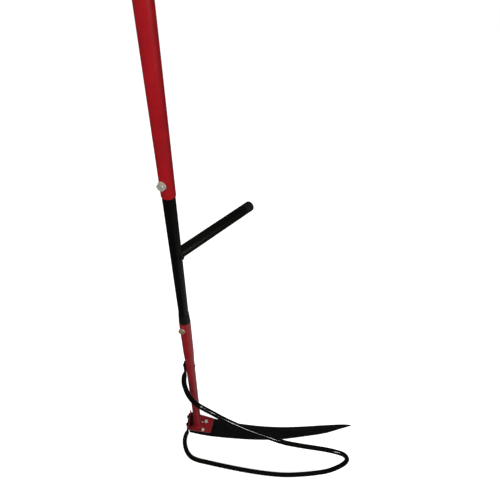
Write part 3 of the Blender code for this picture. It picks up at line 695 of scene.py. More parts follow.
def bead_tree():
    """A weld bead along a closed line: a round section that ripples and is nowhere quite even."""
    inputs = {
        "Radius": "Float", "Ripple Length": "Float", "Ripple Depth": "Float", "Unevenness": "Float",
        "Step": "Float", "Sides": "Int", "Seed": "Float", "Material": "Material",
    }
    tree, given = new_tree("weld bead", inputs)
    line = add(tree, "GeometryNodeMeshToCurve", {0: given["Geometry"]}).outputs[0]
    line = add(
        tree, "GeometryNodeResampleCurve", {"Curve": line, "Length": given["Step"]}, mode="LENGTH",
    ).outputs[0]
    far = add(tree, "GeometryNodeSplineParameter").outputs["Length"]
    wave = maths(tree, "DIVIDE", maths(tree, "MULTIPLY", far, math.pi), given["Ripple Length"])
    crest = maths(tree, "ABSOLUTE", maths(tree, "SINE", wave))
    trough = maths(tree, "SUBTRACT", 1.0, crest)
    ripple = maths(tree, "SUBTRACT", 1.0, maths(tree, "MULTIPLY", trough, given["Ripple Depth"]))
    size = maths(tree, "MULTIPLY", ripple, attribute(tree, "fat"))
    ring = add(
        tree, "GeometryNodeCurvePrimitiveCircle", {"Resolution": given["Sides"], "Radius": given["Radius"]},
    ).outputs[0]
    bead = add(
        tree, "GeometryNodeCurveToMesh",
        {"Curve": line, "Profile Curve": ring, "Scale": size, "Fill Caps": True},
    ).outputs[0]
    bumps = add(
        tree, "ShaderNodeTexNoise",
        {"W": given["Seed"], "Scale": BEAD_GRAIN, "Detail": 2.0}, noise_dimensions="4D",
    ).outputs[0]
    push = maths(tree, "MULTIPLY", maths(tree, "SUBTRACT", bumps, 0.5), given["Unevenness"])
    normal = add(tree, "GeometryNodeInputNormal").outputs[0]
    offset = vectors(tree, "SCALE", normal, push)
    rough = add(tree, "GeometryNodeSetPosition", {"Geometry": bead, "Offset": offset}).outputs[0]
    return close_tree(tree, rough, given)


def pressed_tube_tree():
    """A round tube along a line, pressed flat where the line's own pressed value is 1."""
    inputs = {
        "Radius": "Float", "Half Thickness": "Float", "Half Width": "Float", "Sides": "Int",
        "Material": "Material",
    }
    tree, given = new_tree("pressed tube", inputs)
    line = add(tree, "GeometryNodeMeshToCurve", {0: given["Geometry"]}).outputs[0]
    here = add(tree, "GeometryNodeInputPosition").outputs[0]
    marked = add(
        tree, "GeometryNodeStoreNamedAttribute", {"Geometry": line, "Name": "centre", "Value": here},
        data_type="FLOAT_VECTOR", domain="POINT",
    ).outputs[0]
    ring = add(
        tree, "GeometryNodeCurvePrimitiveCircle", {"Resolution": given["Sides"], "Radius": given["Radius"]},
    ).outputs[0]
    tube = add(
        tree, "GeometryNodeCurveToMesh", {"Curve": marked, "Profile Curve": ring, "Fill Caps": True},
    ).outputs[0]
    centre = attribute(tree, "centre", "FLOAT_VECTOR")
    thin_side = attribute(tree, "thin_side", "FLOAT_VECTOR")
    broad_side = attribute(tree, "broad_side", "FLOAT_VECTOR")
    pressed = attribute(tree, "pressed")
    tip = attribute(tree, "tip")
    spoke = vectors(tree, "SUBTRACT", add(tree, "GeometryNodeInputPosition").outputs[0], centre)
    thin = maths(tree, "DIVIDE", vectors(tree, "DOT_PRODUCT", spoke, thin_side), given["Radius"])
    broad = maths(tree, "DIVIDE", vectors(tree, "DOT_PRODUCT", spoke, broad_side), given["Radius"])
    face = maths(tree, "MINIMUM", maths(tree, "MAXIMUM", maths(tree, "MULTIPLY", thin, 2.6), -1.0), 1.0)
    flat_out = maths(tree, "MULTIPLY", face, given["Half Thickness"])
    flat_side = maths(tree, "MULTIPLY", maths(tree, "MULTIPLY", broad, given["Half Width"]), tip)
    round_share = maths(tree, "SUBTRACT", 1.0, pressed)
    outs = []
    for round_part, flat_part in ((thin, flat_out), (broad, flat_side)):
        full_size = maths(tree, "MULTIPLY", round_part, given["Radius"])
        round_size = maths(tree, "MULTIPLY", full_size, round_share)
        outs.append(maths(tree, "MULTIPLY_ADD", flat_part, pressed, round_size))
    shifted = vectors(tree, "ADD", centre, vectors(tree, "SCALE", thin_side, outs[0]))
    shifted = vectors(tree, "ADD", shifted, vectors(tree, "SCALE", broad_side, outs[1]))
    shaped = add(tree, "GeometryNodeSetPosition", {"Geometry": tube, "Position": shifted}).outputs[0]
    return close_tree(tree, shaped, given)


THREAD = thread_tree()
SET_OUT = set_out_tree()
BEAD = bead_tree()
PRESSED_TUBE = pressed_tube_tree()


# ---------------------------------------------------------------- handle


def level(turn):
    """Level direction at an angle from +X toward +Y."""
    return Vector((math.cos(turn), math.sin(turn), 0))


def make_tube(node, outer, wall, finish):
    """An open tube with eased rims, as long as its frame node."""
    low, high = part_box(node)
    inner = outer - wall
    corners = (
        (inner, low.z, RIM_EASE), (outer, low.z, RIM_EASE),
        (outer, high.z, RIM_EASE), (inner, high.z, RIM_EASE),
    )
    mesh = as_mesh(node, skin(soft_profile(corners, True), TUBE_SIDES, closed=True))
    piece(f"{node}_painted", mesh, finish, [node])


def make_lower_tube():
    """The lower tube, its top swaged out into a socket over a long soft taper."""
    low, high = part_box("lower_tube")
    inner = RED_TUBE_R - RED_TUBE_WALL
    socket_foot = high.z - SOCKET_LENGTH
    swage = []
    steps = 10
    for step in range(steps + 1):
        share = step / steps
        swell = (SOCKET_R - RED_TUBE_R) * ramp(share)
        swage.append((swell, socket_foot - SOCKET_TAPER * (1 - share)))
    corners = [(inner, low.z, RIM_EASE), (RED_TUBE_R, low.z, RIM_EASE)]
    corners += [(RED_TUBE_R + swell, height, 0) for swell, height in swage]
    corners += [(SOCKET_R, high.z, RIM_EASE), (SOCKET_R - RED_TUBE_WALL, high.z, RIM_EASE)]
    corners += [(inner + swell, height, 0) for swell, height in reversed(swage)]
    mesh = as_mesh("lower_tube", skin(soft_profile(corners, True), TUBE_SIDES, closed=True))
    piece("lower_tube_painted", mesh, "foot_red_dust_and_shade", ["lower_tube"])


def make_top_cap():
    """Push-in plug: a flat-topped head with a rolled edge, and its ribbed stem inside the tube."""
    low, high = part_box("top_end_cap")
    stem = RED_TUBE_R - RED_TUBE_WALL - GAP
    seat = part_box("upper_handle_tube")[1].z + GAP
    corners = [(0.0, low.z, 0), (stem - 0.0012, low.z, 0.0004)]
    for rib in range(TOP_CAP_RIBS):
        foot = low.z + 0.0018 + rib * TOP_CAP_RIB_PITCH
        corners += [
            (stem - 0.0009, foot, 0.0002), (stem, foot + 0.0012, 0.0002),
            (stem - 0.0006, foot + 0.0030, 0.0002),
        ]
    corners += [
        (stem - 0.0006, seat, 0), (RED_TUBE_R, seat, 0.0003), (RED_TUBE_R, high.z, 0.0026), (0.0, high.z, 0),
    ]
    mesh = as_mesh("top_cap", skin(soft_profile(corners, False, 8), TUBE_SIDES))
    piece("top_cap_moulding", mesh, "cap_black", ["top_end_cap"])


def make_joint_bush():
    """Moulded bush: a sleeve that fills the socket round the black tube, and a tapered collar above it."""
    low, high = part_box("lower_joint_bush")
    bore = BLACK_TUBE_R + GAP
    sleeve = SOCKET_R - RED_TUBE_WALL - GAP
    seat = high.z - BUSH_COLLAR
    lip = sleeve + 0.0006
    corners = (
        (bore, low.z, 0.0001), (sleeve, low.z, 0.0003), (sleeve, seat, 0.0001), (lip, seat, 0.0002),
        (lip, seat + 0.008, 0.0030), (bore + 0.0004, high.z, 0.0002), (bore, high.z, 0.0001),
    )
    mesh = as_mesh("joint_bush", skin(soft_profile(corners, True, 5), TUBE_SIDES, closed=True))
    piece("joint_bush_moulding", mesh, "cap_black", ["lower_joint_bush"])


def make_side_handle():
    """Black tube notched to the middle tube, its domed end cap, and the bead that joins them."""
    root = Vector((0, 0, centre_of("side_handle_tube").z))
    direction = level(SIDE_HANDLE_TURN)
    side = Vector((-direction.y, direction.x, 0))
    outer = BLACK_TUBE_R
    place = Matrix((
        (0, side.x, direction.x, root.x), (0, side.y, direction.y, root.y), (1, 0, 0, root.z), (0, 0, 0, 1),
    ))
    inner = outer - BLACK_TUBE_WALL
    saddle = outer + GAP

    def notch(radius):
        """Ring that lies on the middle tube's surface."""
        def point(angle):
            sideways = radius * math.sin(angle)
            return radius, math.sqrt(max(saddle**2 - sideways**2, 0.0)), 0.0
        return point

    rim = soft_profile(
        (
            (inner, 0.02, 0), (outer, 0.02, 0),
            (outer, SIDE_HANDLE_REACH, RIM_EASE), (inner, SIDE_HANDLE_REACH, RIM_EASE),
        ),
        True,
    )
    rings = [notch(inner), notch(outer), *rim[1:]]
    mesh = as_mesh("side_tube", skin(rings, TUBE_SIDES, closed=True, place=place))
    piece("side_handle_painted", mesh, "tube_black", ["side_handle_tube"])

    seat = SIDE_HANDLE_REACH + GAP
    stem = inner - GAP
    crown_at = seat + 0.0165
    foot = seat - SIDE_CAP_STEM
    dome = [
        (0.0, foot, 0.0), (stem - 0.0008, foot, 0.0), (stem, seat - 0.0145, 0.0),
        (stem, seat, 0.0), (outer - 0.0002, seat, 0.0),
        (outer, seat + 0.0002, 0.5), (outer, seat + 0.0022, 0.0),
    ]
    steps = 14
    for step in range(steps):
        angle = math.pi / 2 * step / steps
        radius = outer - SIDE_CAP_CROWN + SIDE_CAP_CROWN * math.cos(angle)
        dome.append((radius, crown_at + SIDE_CAP_CROWN * math.sin(angle) * 0.86, 0.0))
    crown_top = crown_at + SIDE_CAP_CROWN
    dome += [((outer - SIDE_CAP_CROWN) * 0.5, crown_top - 0.0003, 0.0), (0.0, crown_top, 0.0)]
    mesh = as_mesh("side_cap", skin(dome, TUBE_SIDES, place=place))
    piece("side_handle_cap_moulding", mesh, "cap_black", ["side_handle_end_cap"])

    steps = 120
    line, fat = [], []
    for step in range(steps):
        angle = 2 * math.pi * step / steps
        sideways = outer * math.sin(angle)
        forward = math.sqrt(max(outer**2 - sideways**2, 0.0))
        line.append(root + side * sideways + direction * forward + Vector((0, 0, outer * math.cos(angle))))
        fat.append(0.60 + 0.40 * max(0.0, -math.cos(angle)))
    make_bead("side_handle_bead", line, fat, SIDE_BEAD_R, "tube_black", "side_handle_weld")


def make_bead(name, line, fat, radius, finish, node):
    count = len(line)
    edges = [(index, (index + 1) % count) for index in range(count)]
    length = sum((line[after] - line[before]).length for before, after in edges)
    values = {
        "Radius": radius, "Ripple Length": length / round(length / BEAD_RIPPLE), "Ripple Depth": 0.16,
        "Unevenness": radius * 0.22, "Step": BEAD_RIPPLE / 6, "Sides": 18, "Seed": 3.0,
        "Material": FINISH[finish],
    }
    mesh = grown(BEAD, seed_mesh(line, edges, {"fat": fat}), values)
    piece(name, mesh, finish, [node], crease=70)


def make_foot_bead():
    """Ring of weld that stands the lower tube on the bracket's plate."""
    steps = 120
    height = BLADE_THICK + BRACKET_THICK + 2 * GAP + FOOT_BEAD_R * 0.35
    line, fat = [], []
    for step in range(steps):
        angle = 2 * math.pi * step / steps
        reach = RED_TUBE_R + FOOT_BEAD_R * 0.1
        line.append(Vector((reach * math.cos(angle), reach * math.sin(angle), height)))
        fat.append(0.92 + 0.08 * math.sin(3 * angle + 1.0))
    make_bead("foot_bead", line, fat, FOOT_BEAD_R * 0.82, "foot_red_dust_and_shade", "foot_weld")


# ---------------------------------------------------------------- fasteners


def hex_edge(half, height, slope):
    """Ring round a hexagon, falling away toward its corners where slope isn't 0."""
    def point(angle):
        radius = half / math.cos((angle + math.pi / 6) % (math.pi / 3) - math.pi / 6)
        return radius, height + slope * (radius - CROWN_SHARE * half) * CROWN_SLOPE
    return point


def nut_pattern(size):
    """Hex nut centred on the origin: chamfered corners and a countersunk bore."""
    half = size["flats"] / 2
    low, high = -size["nut"] / 2, size["nut"] / 2
    bore = size["shank"] - 0.0001
    sink = 0.00045
    rings = [
        (bore, low + sink), (bore + sink, low), (half * CROWN_SHARE, low), hex_edge(half, low, 1),
        hex_edge(half, high, -1), (half * CROWN_SHARE, high), (bore + sink, high), (bore, high - sink),
    ]
    return softened(as_mesh("nut", skin(rings, HEX_SIDES, closed=True)), 0.00016)


def washer_pattern(size):
    """Punched washer centred on the origin: one rim rolled over by the punch."""
    half = size["washer"] / 2
    bore = size["shank"] + GAP
    rim = size["washer_r"]
    corners = ((bore, -half, 0.0001), (rim, -half, 0.0002), (rim, half, 0.00045), (bore, half, 0.00035))
    return as_mesh("washer", skin(soft_profile(corners, True), HEX_SIDES, closed=True))


def thread_mesh(size, length):
    values = {
        "Radius": size["shank"], "Pitch": size["pitch"], "Depth": size["pitch"] * THREAD_DEPTH_SHARE,
        "Length": length, "Chamfer": size["pitch"] * 0.55, "Rows": max(8, round(length / size["pitch"] * 12)),
        "Sides": 48,
    }
    return grown(THREAD, seed_mesh([(0, 0, 0)]), values)


def bolt_pattern(size, grip, threaded):
    """Hex bolt up local Z: head below zero, plain shank, and a threaded end."""
    half = size["flats"] / 2
    top = -size["head"]
    shank = size["shank"]
    plain = grip - threaded
    rings = [
        (0.0, top + 0.00035), (half * 0.62, top + 0.00035), (half * 0.72, top), (half * CROWN_SHARE, top),
        hex_edge(half, top, 1), hex_edge(half, -0.0004, 0), (half * 0.95, -0.0004), (half * 0.93, 0.0),
        (shank, 0.0), (shank, plain), (shank * 0.8, plain + 0.0004), (0.0, plain + 0.0004),
    ]
    mesh = softened(as_mesh("bolt", skin(rings, HEX_SIDES)), 0.00016)
    return joined([(mesh, 0.0), (thread_mesh(size, threaded), plain)])


def joined(parts):
    """One mesh of several, each raised along Z."""
    bm = bmesh.new()
    for mesh, lift in parts:
        mesh.transform(Matrix.Translation((0, 0, lift)))
        bm.from_mesh(mesh)
    mesh = bpy.data.meshes.new("joined")
    bm.to_mesh(mesh)
    bm.free()
    return mesh


def countersunk_pattern(size, grip):
    """Countersunk screw up local Z, its flat face at zero with a hexagon socket sunk in it."""
    half = 0.0020
    deep = 0.0019
    rings = [
        (0.0, deep + 0.0004), hex_edge(half, deep, 0), hex_edge(half, 0.0, 0), (COUNTERSINK_R - 0.0001, 0.0),
        (COUNTERSINK_R, COUNTERSINK_RIM), (size["shank"], COUNTERSINK_RIM + COUNTERSINK_R - size["shank"]),
        (size["shank"], 0.0042), (size["shank"] * 0.8, 0.0045), (0.0, 0.0045),
    ]
    head = as_mesh("countersunk", skin(rings, HEX_SIDES))
    return joined([(head, 0.0), (thread_mesh(size, grip - 0.0040), 0.0040)])


def hammered_dome(radius, height, seat=0.0):
    """Rings of a hammered head that stands height above its seat; a minus height turns it over."""
    def ring(share):
        def point(angle):
            facets = 1 - 0.035 * abs(math.sin(2.5 * angle)) * share
            out = math.cos(share * math.pi / 2)
            return radius * (out**0.8) * facets, seat + height * math.sin(share * math.pi / 2) * 0.97
        return point
    return [ring(step / 10) for step in range(10)] + [(0.0, seat + height * 0.985)]


def locating_rivet_pattern():
    """Hammered rivet head, centred on its seat."""
    rings = [(0.0, 0.0), (RIVET_HEAD_R * 0.96, 0.0)] + hammered_dome(RIVET_HEAD_R, RIVET_HEAD)
    return as_mesh("rivet", skin(rings, 40))


def bow_rivet_pattern(grip):
    """Rivet up local Z: factory head below zero, shank, and the smaller hammered head at grip."""
    shank = BOW_RIVET["shank"]
    rings = list(reversed(hammered_dome(BOW_RIVET["head_r"], -BOW_RIVET["head"])))
    rings += [(shank, 0.0), (shank, grip)] + hammered_dome(BOW_RIVET["far_r"], BOW_RIVET["far"], grip)
    return as_mesh("bow_rivet", skin(rings, 40))


def set_out(name, pattern, spots, finish, nodes, crease=30):
    """Copies of a pattern mesh at (place, aim, turn) spots, as one piece."""
    holder = link("pattern", pattern)
    points = [spot for spot, aim, turn in spots]
    directions = {"aim": [aim for spot, aim, turn in spots]}
    turns = {"turn": [turn for spot, aim, turn in spots]}
    values = {"Pattern": holder, "Material": FINISH[finish]}
    mesh = grown(SET_OUT, seed_mesh(points, (), turns, directions), values)
    bpy.data.objects.remove(holder)
    piece(name, mesh, finish, nodes, crease)


def centred(nodes, aim, turns):
    return [(centre_of(node), aim, turn) for node, turn in zip(nodes, turns)]


def make_joint_fasteners():
    """One bolt and washer on the outside of each joint, and the nut brazed inside that takes the bolt."""
    aim = level(JOINT_BOLT_TURN)
    nuts = ["upper_joint_inner_nut", "lower_joint_inner_nut"]
    set_out("joint_inner_nuts", nut_pattern(M8), centred(nuts, aim, [0.32, 0.15]), "zinc", nuts)
    washers = ["upper_joint_washer", "lower_joint_washer"]
    set_out("joint_washers", washer_pattern(M8), centred(washers, aim, [0.0, 0.0]), "zinc", washers)
    tip = JOINT_NUT_REACH - M8["nut"] - JOINT_BOLT_PROUD
    joints = (("upper", RED_TUBE_R, "zinc", 0.2), ("lower", SOCKET_R, "yellow_zinc", 0.45))
    for joint, tube, finish, turn in joints:
        stand = M8["washer"] + 2 * GAP
        seat = -aim * (tube + stand)
        seat.z = centre_of(f"{joint}_joint_washer").z
        node = f"{joint}_joint_bolt"
        bolt = bolt_pattern(M8, tube - tip + stand, JOINT_BOLT_THREADED)
        set_out(f"{node}_turned", bolt, [(seat, aim, turn)], finish, [node])


def make_blade_fasteners():
    """Countersunk screws up through the blade, nuts and washers on the bracket, and a rivet."""
    up = Vector((0, 0, 1))
    nuts = ["blade_nut_1", "blade_nut_2"]
    washers = ["blade_washer_1", "blade_washer_2"]
    set_out("blade_nuts", nut_pattern(M6), centred(nuts, up, [0.35, 0.82]), "zinc", nuts)
    set_out("blade_washers", washer_pattern(M6), centred(washers, up, [0.0, 0.0]), "zinc", washers)

    grip = BLADE_THICK + BRACKET_THICK + 2 * GAP + M6["washer"] + GAP + M6["nut"] + BLADE_STUD_PROUD
    names = ["blade_screw_1", "blade_screw_2"]
    spots = []
    for name, turn in zip(names, (0.2, 0.9)):
        centre = centre_of(name)
        spots.append((Vector((centre.x, centre.y, GAP)), up, turn))
    set_out("blade_screws", countersunk_pattern(M6, grip - GAP), spots, "zinc", names)

    centre = centre_of("blade_locating_rivet")
    seat = Vector((centre.x, centre.y, BLADE_THICK + BRACKET_THICK + 2 * GAP))
    spots = [(seat, up, 0.4)]
    rivet = ["blade_locating_rivet"]
    set_out("locating_rivet", locating_rivet_pattern(), spots, "zinc", rivet, 60)


def make_bow_fasteners():
    """Black rivet through the bow's top tab, and two black bolts through its heel tab and the flange."""
    tab = GAP + 2 * BOW_HALF_THICK
    seat = Vector((-RED_TUBE_R - tab - GAP, 0, BOW_TOP_RIVET_Z))
    rivet = bow_rivet_pattern(tab + 2 * RED_TUBE_R + 2 * GAP)
    set_out(
        "bow_top_rivet_hammered", rivet, [(seat, Vector((1, 0, 0)), 0.3)], "bolt_black",
        ["bow_top_rivet"], 60,
    )

    near, far, inward = heel_frame()
    nuts = ["bow_heel_nut_1", "bow_heel_nut_2"]
    spots = centred(nuts, inward, [0.10, 0.60])
    set_out("bow_heel_nuts", nut_pattern(M6), spots, "bolt_black", nuts)
    washers = ["bow_heel_washer_1", "bow_heel_washer_2"]
    spots = centred(washers, inward, [0.0, 0.0])
    set_out("bow_heel_washers", washer_pattern(M6), spots, "bolt_black", washers)
    stack = BRACKET_THICK + tab
    grip = stack + M6["washer"] + M6["nut"] + 4 * GAP + HEEL_STUD_PROUD
    spots = []
    for reach, turn in zip(FLANGE_BOLTS_S, (0.15, 0.75)):
        spot = near - inward * (stack + GAP) + far * reach
        spots.append((Vector((spot.x, spot.y, FLANGE_BOLT_Z)), inward, turn))
    names = ["bow_heel_bolt_1", "bow_heel_bolt_2"]
    set_out("bow_heel_bolts", bolt_pattern(M6, grip, 0.010), spots, "bolt_black", names)


# ---------------------------------------------------------------- blade and bracket


def make_blade():
    """Sickle blade: flat underside, a rounded back, a rolled face and a bevel down to the cutting edge."""
    spans = 24
    back_path = smooth_path([Vector((*point, 0)) for point in (*BLADE_BACK, BLADE_TIP)], spans)
    cut_path = smooth_path([Vector((*point, 0)) for point in (*BLADE_CUT, BLADE_TIP)], spans)
    first, last = BLADE_BACK[0][0], BLADE_TIP[0] - 0.0004
    bm = bmesh.new()
    wear = bm.verts.layers.float.new("wear")
    ground = bm.verts.layers.float.new("ground")
    rings = []
    for station in range(BLADE_STATIONS + 1):
        share = station / BLADE_STATIONS
        x = first + (last - first) * (1 - (1 - share) ** 1.15)
        back, edge = curve_height(back_path, x), curve_height(cut_path, x)
        wide = max(edge - back, 0.0002)
        thick = min(BLADE_THICK, 2 * BLADE_EDGE_THICK + wide * 0.22)
        bevel = edge - min(BLADE_BEVEL, 0.62 * wide)
        face = max(bevel - back, 0.0)
        ease = min(0.0006, wide * 0.2)
        wave = BLADE_WAVE * (math.sin(x * 61) + math.sin(x * 37 + 1.3))
        section = [
            (back + ease, 0.0, 0, 0), (back + ease * 0.3, ease * 0.3, 0.6, 0), (back, ease, 0.4, 0),
            (back, thick - ease, 0.4, 0), (back + ease * 0.3, thick - ease * 0.3, 1.0, 0),
            (back + ease, thick, 0.5, 0), (back + ease + face * 0.15, thick - abs(wave), 0, 0),
            (back + face * 0.55, thick - abs(wave) * 1.5, 0, 0), (bevel - face * 0.08, thick - 0.00003, 0, 0),
            (bevel, thick - 0.00008, 0.25, 1),
            (bevel + (edge - bevel) * 0.5, (thick + BLADE_EDGE_THICK) * 0.5, 0, 1),
            (edge - ease, BLADE_EDGE_THICK + ease * 0.15, 0.45, 1),
            (edge - ease * 0.15, BLADE_EDGE_THICK * 0.8, 0.8, 1),
            (edge, BLADE_EDGE_THICK * 0.4, 1.0, 1), (edge - ease * 0.4, 0.0, 0.6, 0),
        ]
        ring = []
        for y, z, worn, cut in section:
            vert = bm.verts.new((x, y, max(z, 0.0)))
            vert[wear] = worn
            vert[ground] = cut
            ring.append(vert)
        rings.append(ring)
    count = len(rings[0])
    for low, high in zip(rings, rings[1:]):
        for step in range(count):
            following = (step + 1) % count
            bm.faces.new((low[step], low[following], high[following], high[step]))
    bm.faces.new(rings[0])
    tip = bm.verts.new((BLADE_TIP[0], BLADE_TIP[1], BLADE_EDGE_THICK))
    tip[wear] = 1.0
    for step in range(count):
        bm.faces.new((rings[-1][step], rings[-1][(step + 1) % count], tip))
    blade = link("blade_blank", as_mesh("blade_blank", bm))

    cutters = []
    cone = COUNTERSINK_R + 0.0004
    for name in ("blade_screw_1", "blade_screw_2"):
        centre = centre_of(name)
        rings = [
            (0.0, -0.001), (cone + 0.001, -0.001), (M6["shank"] + GAP, cone - M6["shank"] - GAP),
            (M6["shank"] + GAP, 0.01), (0.0, 0.01),
        ]
        place = Matrix.Translation((centre.x, centre.y, 0))
        cutter = link("cutter", as_mesh("cutter", skin(rings, 48, place=place)))
        modifier = blade.modifiers.new("countersink", "BOOLEAN")
        modifier.object = cutter
        modifier.operation = "DIFFERENCE"
        cutters.append(cutter)
    mesh = evaluated(blade)
    for cutter in cutters:
        bpy.data.objects.remove(cutter)
    piece("blade_blackened", mesh, "blade_black", ["blade"], crease=24)


def heel_frame():
    """Start, run and inward direction of the bracket's upturned heel edge."""
    near, far = (Vector((*BRACKET_OUTLINE[index], 0)) for index in (0, -1))
    run = (far - near).normalized()
    return near, run, Vector((run.y, -run.x, 0))


def make_bracket():
    """One bent plate with eased edges: flat on the blade, its heel edge turned up as a flange."""
    near, run, inward = heel_frame()
    under = BLADE_THICK + GAP
    thick = BRACKET_THICK
    bends = 10
    section = [(0.11, 0.0), (0.11, thick)]
    for step in range(bends + 1):
        angle = math.pi / 2 * step / bends
        inner = FLANGE_BEND_R - thick
        section.append((FLANGE_BEND_R - inner * math.sin(angle), FLANGE_BEND_R - inner * math.cos(angle)))
    section += [(thick, FLANGE_HEIGHT), (0.0, FLANGE_HEIGHT)]
    for step in range(bends + 1):
        angle = math.pi / 2 * (1 - step / bends)
        section.append((FLANGE_BEND_R * (1 - math.sin(angle)), FLANGE_BEND_R * (1 - math.cos(angle))))
    bm = bmesh.new()
    ends = []
    for reach in (-0.02, 0.09):
        origin = near - inward * thick + run * reach + Vector((0, 0, under))
        ends.append([bm.verts.new(origin + inward * out + Vector((0, 0, up))) for out, up in section])
    join_ends(bm, ends)
    bent = link("bent_strip", as_mesh("bent_strip", bm))

    outline = [Vector(point) for point in BRACKET_OUTLINE]
    shift = Vector(inward.xy) * (thick + 0.001)
    outline[0] -= shift
    outline[-1] -= shift
    flat = rounded(outline, BRACKET_CORNER_R)
    bm = bmesh.new()
    join_ends(bm, [[bm.verts.new((point.x, point.y, z)) for point in flat] for z in (-0.01, 0.05)])
    blank = link("plate_outline", as_mesh("plate_outline", bm))
    modifier = bent.modifiers.new("outline", "BOOLEAN")
    modifier.object = blank
    modifier.operation = "INTERSECT"
    mesh = evaluated(bent)
    bpy.data.objects.remove(blank)
    bm = bmesh.new()
    bm.from_mesh(mesh)
    bmesh.ops.remove_doubles(bm, verts=bm.verts, dist=1e-6)
    bmesh.ops.dissolve_limit(bm, angle_limit=math.radians(1), verts=bm.verts, edges=bm.edges)
    mesh = softened(as_mesh("bracket", bm), BRACKET_EASE, 3, 40)
    piece("bracket_painted", mesh, "plate_red_shaded", ["blade_bracket"], crease=35)


def join_ends(bm, ends):
    """Closes two like rings of points into a prism."""
    for end in ends:
        bm.faces.new(end)
    for step in range(len(ends[0])):
        following = (step + 1) % len(ends[0])
        bm.faces.new((ends[0][step], ends[0][following], ends[1][following], ends[1][step]))


# ---------------------------------------------------------------- bow


def bow_route():
    """The bow's centre line: top tab, arm, nose, ground run and heel tab."""
    near, run, inward = heel_frame()
    tab_x = -RED_TUBE_R - GAP - BOW_HALF_THICK
    top = [Vector((tab_x, 0, BOW_TOP_RIVET_Z + lift)) for lift in (BOW_TAB_END, 0.0, -BOW_TAB_END)]
    face = near - inward * (BRACKET_THICK + GAP + BOW_HALF_THICK)
    heel = []
    for reach in (-0.009, 0.003, *FLANGE_BOLTS_S, FLANGE_BOLTS_S[-1] + BOW_TAB_END):
        heel.append(Vector((face.x, face.y, FLANGE_BOLT_Z)) + run * reach)
    return top + [Vector(point) for point in BOW_ARM + BOW_NOSE + BOW_RUN] + heel


def make_bow():
    path, marks = even_path(smooth_path(bow_route(), 16), BOW_STEP)
    total = marks[-1]
    tangents = []
    for index in range(len(path)):
        low, high = max(index - 1, 0), min(index + 1, len(path) - 1)
        tangents.append((path[high] - path[low]).normalized())
    thin = Vector((1, 0, 0))
    carried = []
    for tangent in tangents:
        thin = (thin - tangent * thin.dot(tangent)).normalized()
        carried.append(thin)
    # The frame is carried along without twist, then turned over the round stretch to suit the flange.
    inward = heel_frame()[2]
    lack = math.atan2(tangents[-1].dot(carried[-1].cross(inward)), carried[-1].dot(inward))
    lack -= math.pi * round(lack / math.pi)
    round_from = BOW_TOP_FLAT + BOW_TOP_FLATTENING
    round_to = total - BOW_FOOT_FLAT - BOW_FOOT_FLATTENING
    thins, broads, pressed, tips, wear = [], [], [], [], []
    for mark, tangent, start in zip(marks, tangents, carried):
        turn = Matrix.Rotation(lack * ramp((mark - round_from) / (round_to - round_from)), 3, tangent)
        thins.append(turn @ start)
        broads.append(tangent.cross(thins[-1]))
        from_top = 1 - ramp((mark - BOW_TOP_FLAT) / BOW_TOP_FLATTENING)
        from_foot = 1 - ramp((total - mark - BOW_FOOT_FLAT) / BOW_FOOT_FLATTENING)
        pressed.append(max(from_top, from_foot))
        end = min(mark, total - mark)
        tips.append(0.62 + 0.38 * math.sqrt(1 - (1 - min(end / 0.006, 1.0)) ** 2))
        wear.append(max(0.0, 1 - end / 0.002) * 0.8)
    count = len(path)
    edges = [(index, index + 1) for index in range(count - 1)]
    floats = {"pressed": pressed, "tip": tips, "wear": wear}
    seed = seed_mesh(path, edges, floats, {"thin_side": thins, "broad_side": broads})
    values = {
        "Radius": BOW_R, "Half Thickness": BOW_HALF_THICK, "Half Width": BOW_HALF_WIDTH,
        "Sides": BOW_SIDES, "Material": FINISH["bow_black"],
    }
    mesh = grown(PRESSED_TUBE, seed, values)
    piece("bow_painted", mesh, "bow_black", ["gathering_bow"], crease=50)


# ---------------------------------------------------------------- studio


def make_floor():
    """Pale sheet under and round the tool."""
    half = FLOOR_HALF
    corners = [(-half, -half, 0), (half, -half, 0), (half, half, 0), (-half, half, 0)]
    mesh = bpy.data.meshes.new("floor")
    mesh.from_pydata(corners, [], [(0, 1, 2, 3)])
    floor = link("floor", mesh)
    floor.location.z = -FLOOR_DROP
    made, tree, shader = new_finish("floor_sheet")
    where = add(tree, "ShaderNodeTexCoord").outputs["Object"]
    fine = grain(tree, where, 3.0, 3)
    tree.links.new(tint(tree, fine, (0.80, 0.80, 0.80), (0.83, 0.83, 0.83)), shader.inputs["Base Color"])
    shader.inputs["Roughness"].default_value = 0.9
    shader.inputs["Specular IOR Level"].default_value = 0.1
    shader.inputs["Emission Color"].default_value = (1.0, 1.0, 1.0, 1.0)
    shader.inputs["Emission Strength"].default_value = 0.62
    mesh.materials.append(made)
    floor.visible_glossy = False
    floor.visible_diffuse = False


def add_softbox(name, place, target, size, watts, glossy=True):
    data = bpy.data.lights.new(name, "AREA")
    data.shape = "RECTANGLE"
    data.size, data.size_y = size
    data.energy = watts
    lamp = bpy.data.objects.new(name, data)
    bpy.context.scene.collection.objects.link(lamp)
    aim = (Vector(target) - Vector(place)).to_track_quat("-Z", "Y")
    lamp.matrix_world = Matrix.LocRotScale(Vector(place), aim, None)
    lamp.visible_camera = False
    lamp.visible_glossy = glossy


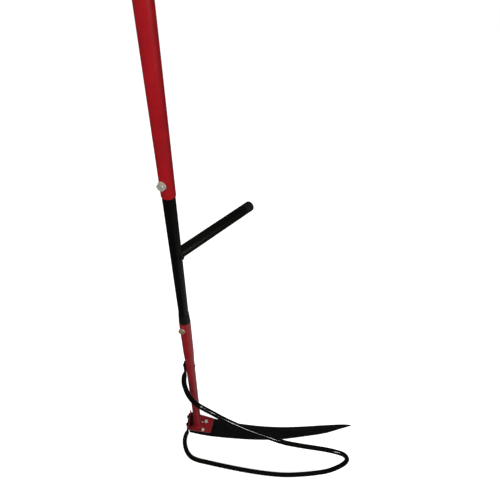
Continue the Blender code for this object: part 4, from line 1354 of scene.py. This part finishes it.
def light_room():
    """A white backdrop for the camera, a dim even room for the paint, and three soft boxes."""
    world = bpy.data.worlds.new("room")
    bpy.context.scene.world = world
    world.use_nodes = True
    tree = world.node_tree
    background = tree.nodes["Background"]
    rays = add(tree, "ShaderNodeLightPath").outputs
    outward = add(tree, "ShaderNodeTexCoord").outputs["Generated"]
    parts = add(tree, "ShaderNodeSeparateXYZ", {0: outward}).outputs
    upward = parts["Z"]
    sky = spread(tree, upward, -0.3, 0.5, 0.16, 0.50)
    # Steep glances off the upright tubes meet the lit sheet on the tip's side.
    steep = spread(tree, upward, -0.68, -0.88)
    tipward = spread(tree, parts["X"], 0.10, 0.40)
    lit_sheet = maths(tree, "MULTIPLY", maths(tree, "MULTIPLY", steep, tipward), 0.34)
    mirrored = maths(tree, "ADD", spread(tree, upward, -0.8, 0.9, 0.03, 0.07), lit_sheet)
    room = add(tree, "ShaderNodeMix", {0: rays["Is Glossy Ray"], 2: sky, 3: mirrored}).outputs[0]
    strength = add(tree, "ShaderNodeMix", {0: rays["Is Camera Ray"], 2: room, 3: 1.0}).outputs[0]
    tree.links.new(strength, background.inputs["Strength"])
    background.inputs["Color"].default_value = (1.0, 1.0, 1.0, 1.0)
    add_softbox("window_box", (1.75, -0.97, 1.52), (0.2, -0.08, 0.22), (0.24, 0.24), 14.0)
    add_softbox("front_box", (-0.35, -1.45, 2.15), (0.0, 0.0, 0.95), (0.9, 0.9), 21.0, glossy=False)
    add_softbox("top_box", (0.1, 0.35, 3.0), (0.1, 0.0, 0.0), (1.6, 1.6), 10.0, glossy=False)


def set_camera():
    data = bpy.data.cameras.new("camera")
    data.lens = LENS
    data.sensor_width = SENSOR
    camera = bpy.data.objects.new("camera", data)
    bpy.context.scene.collection.objects.link(camera)
    tilt = Matrix.Rotation(math.pi / 2 - LOOK_DOWN, 4, "X")
    roll = Matrix.Rotation(CAMERA_ROLL, 4, "Z")
    camera.matrix_world = Matrix.Translation(EYE) @ tilt @ roll
    bpy.context.scene.camera = camera
    bpy.context.scene.view_settings.view_transform = "Standard"


# ---------------------------------------------------------------- assembly


set_camera()
light_room()
make_floor()
make_tube("upper_handle_tube", RED_TUBE_R, RED_TUBE_WALL, "handle_red")
make_tube("middle_tube", BLACK_TUBE_R, BLACK_TUBE_WALL, "tube_black")
make_lower_tube()
make_top_cap()
make_joint_bush()
make_side_handle()
make_foot_bead()
make_joint_fasteners()
make_blade_fasteners()
make_bow_fasteners()
make_blade()
make_bracket()
make_bow()
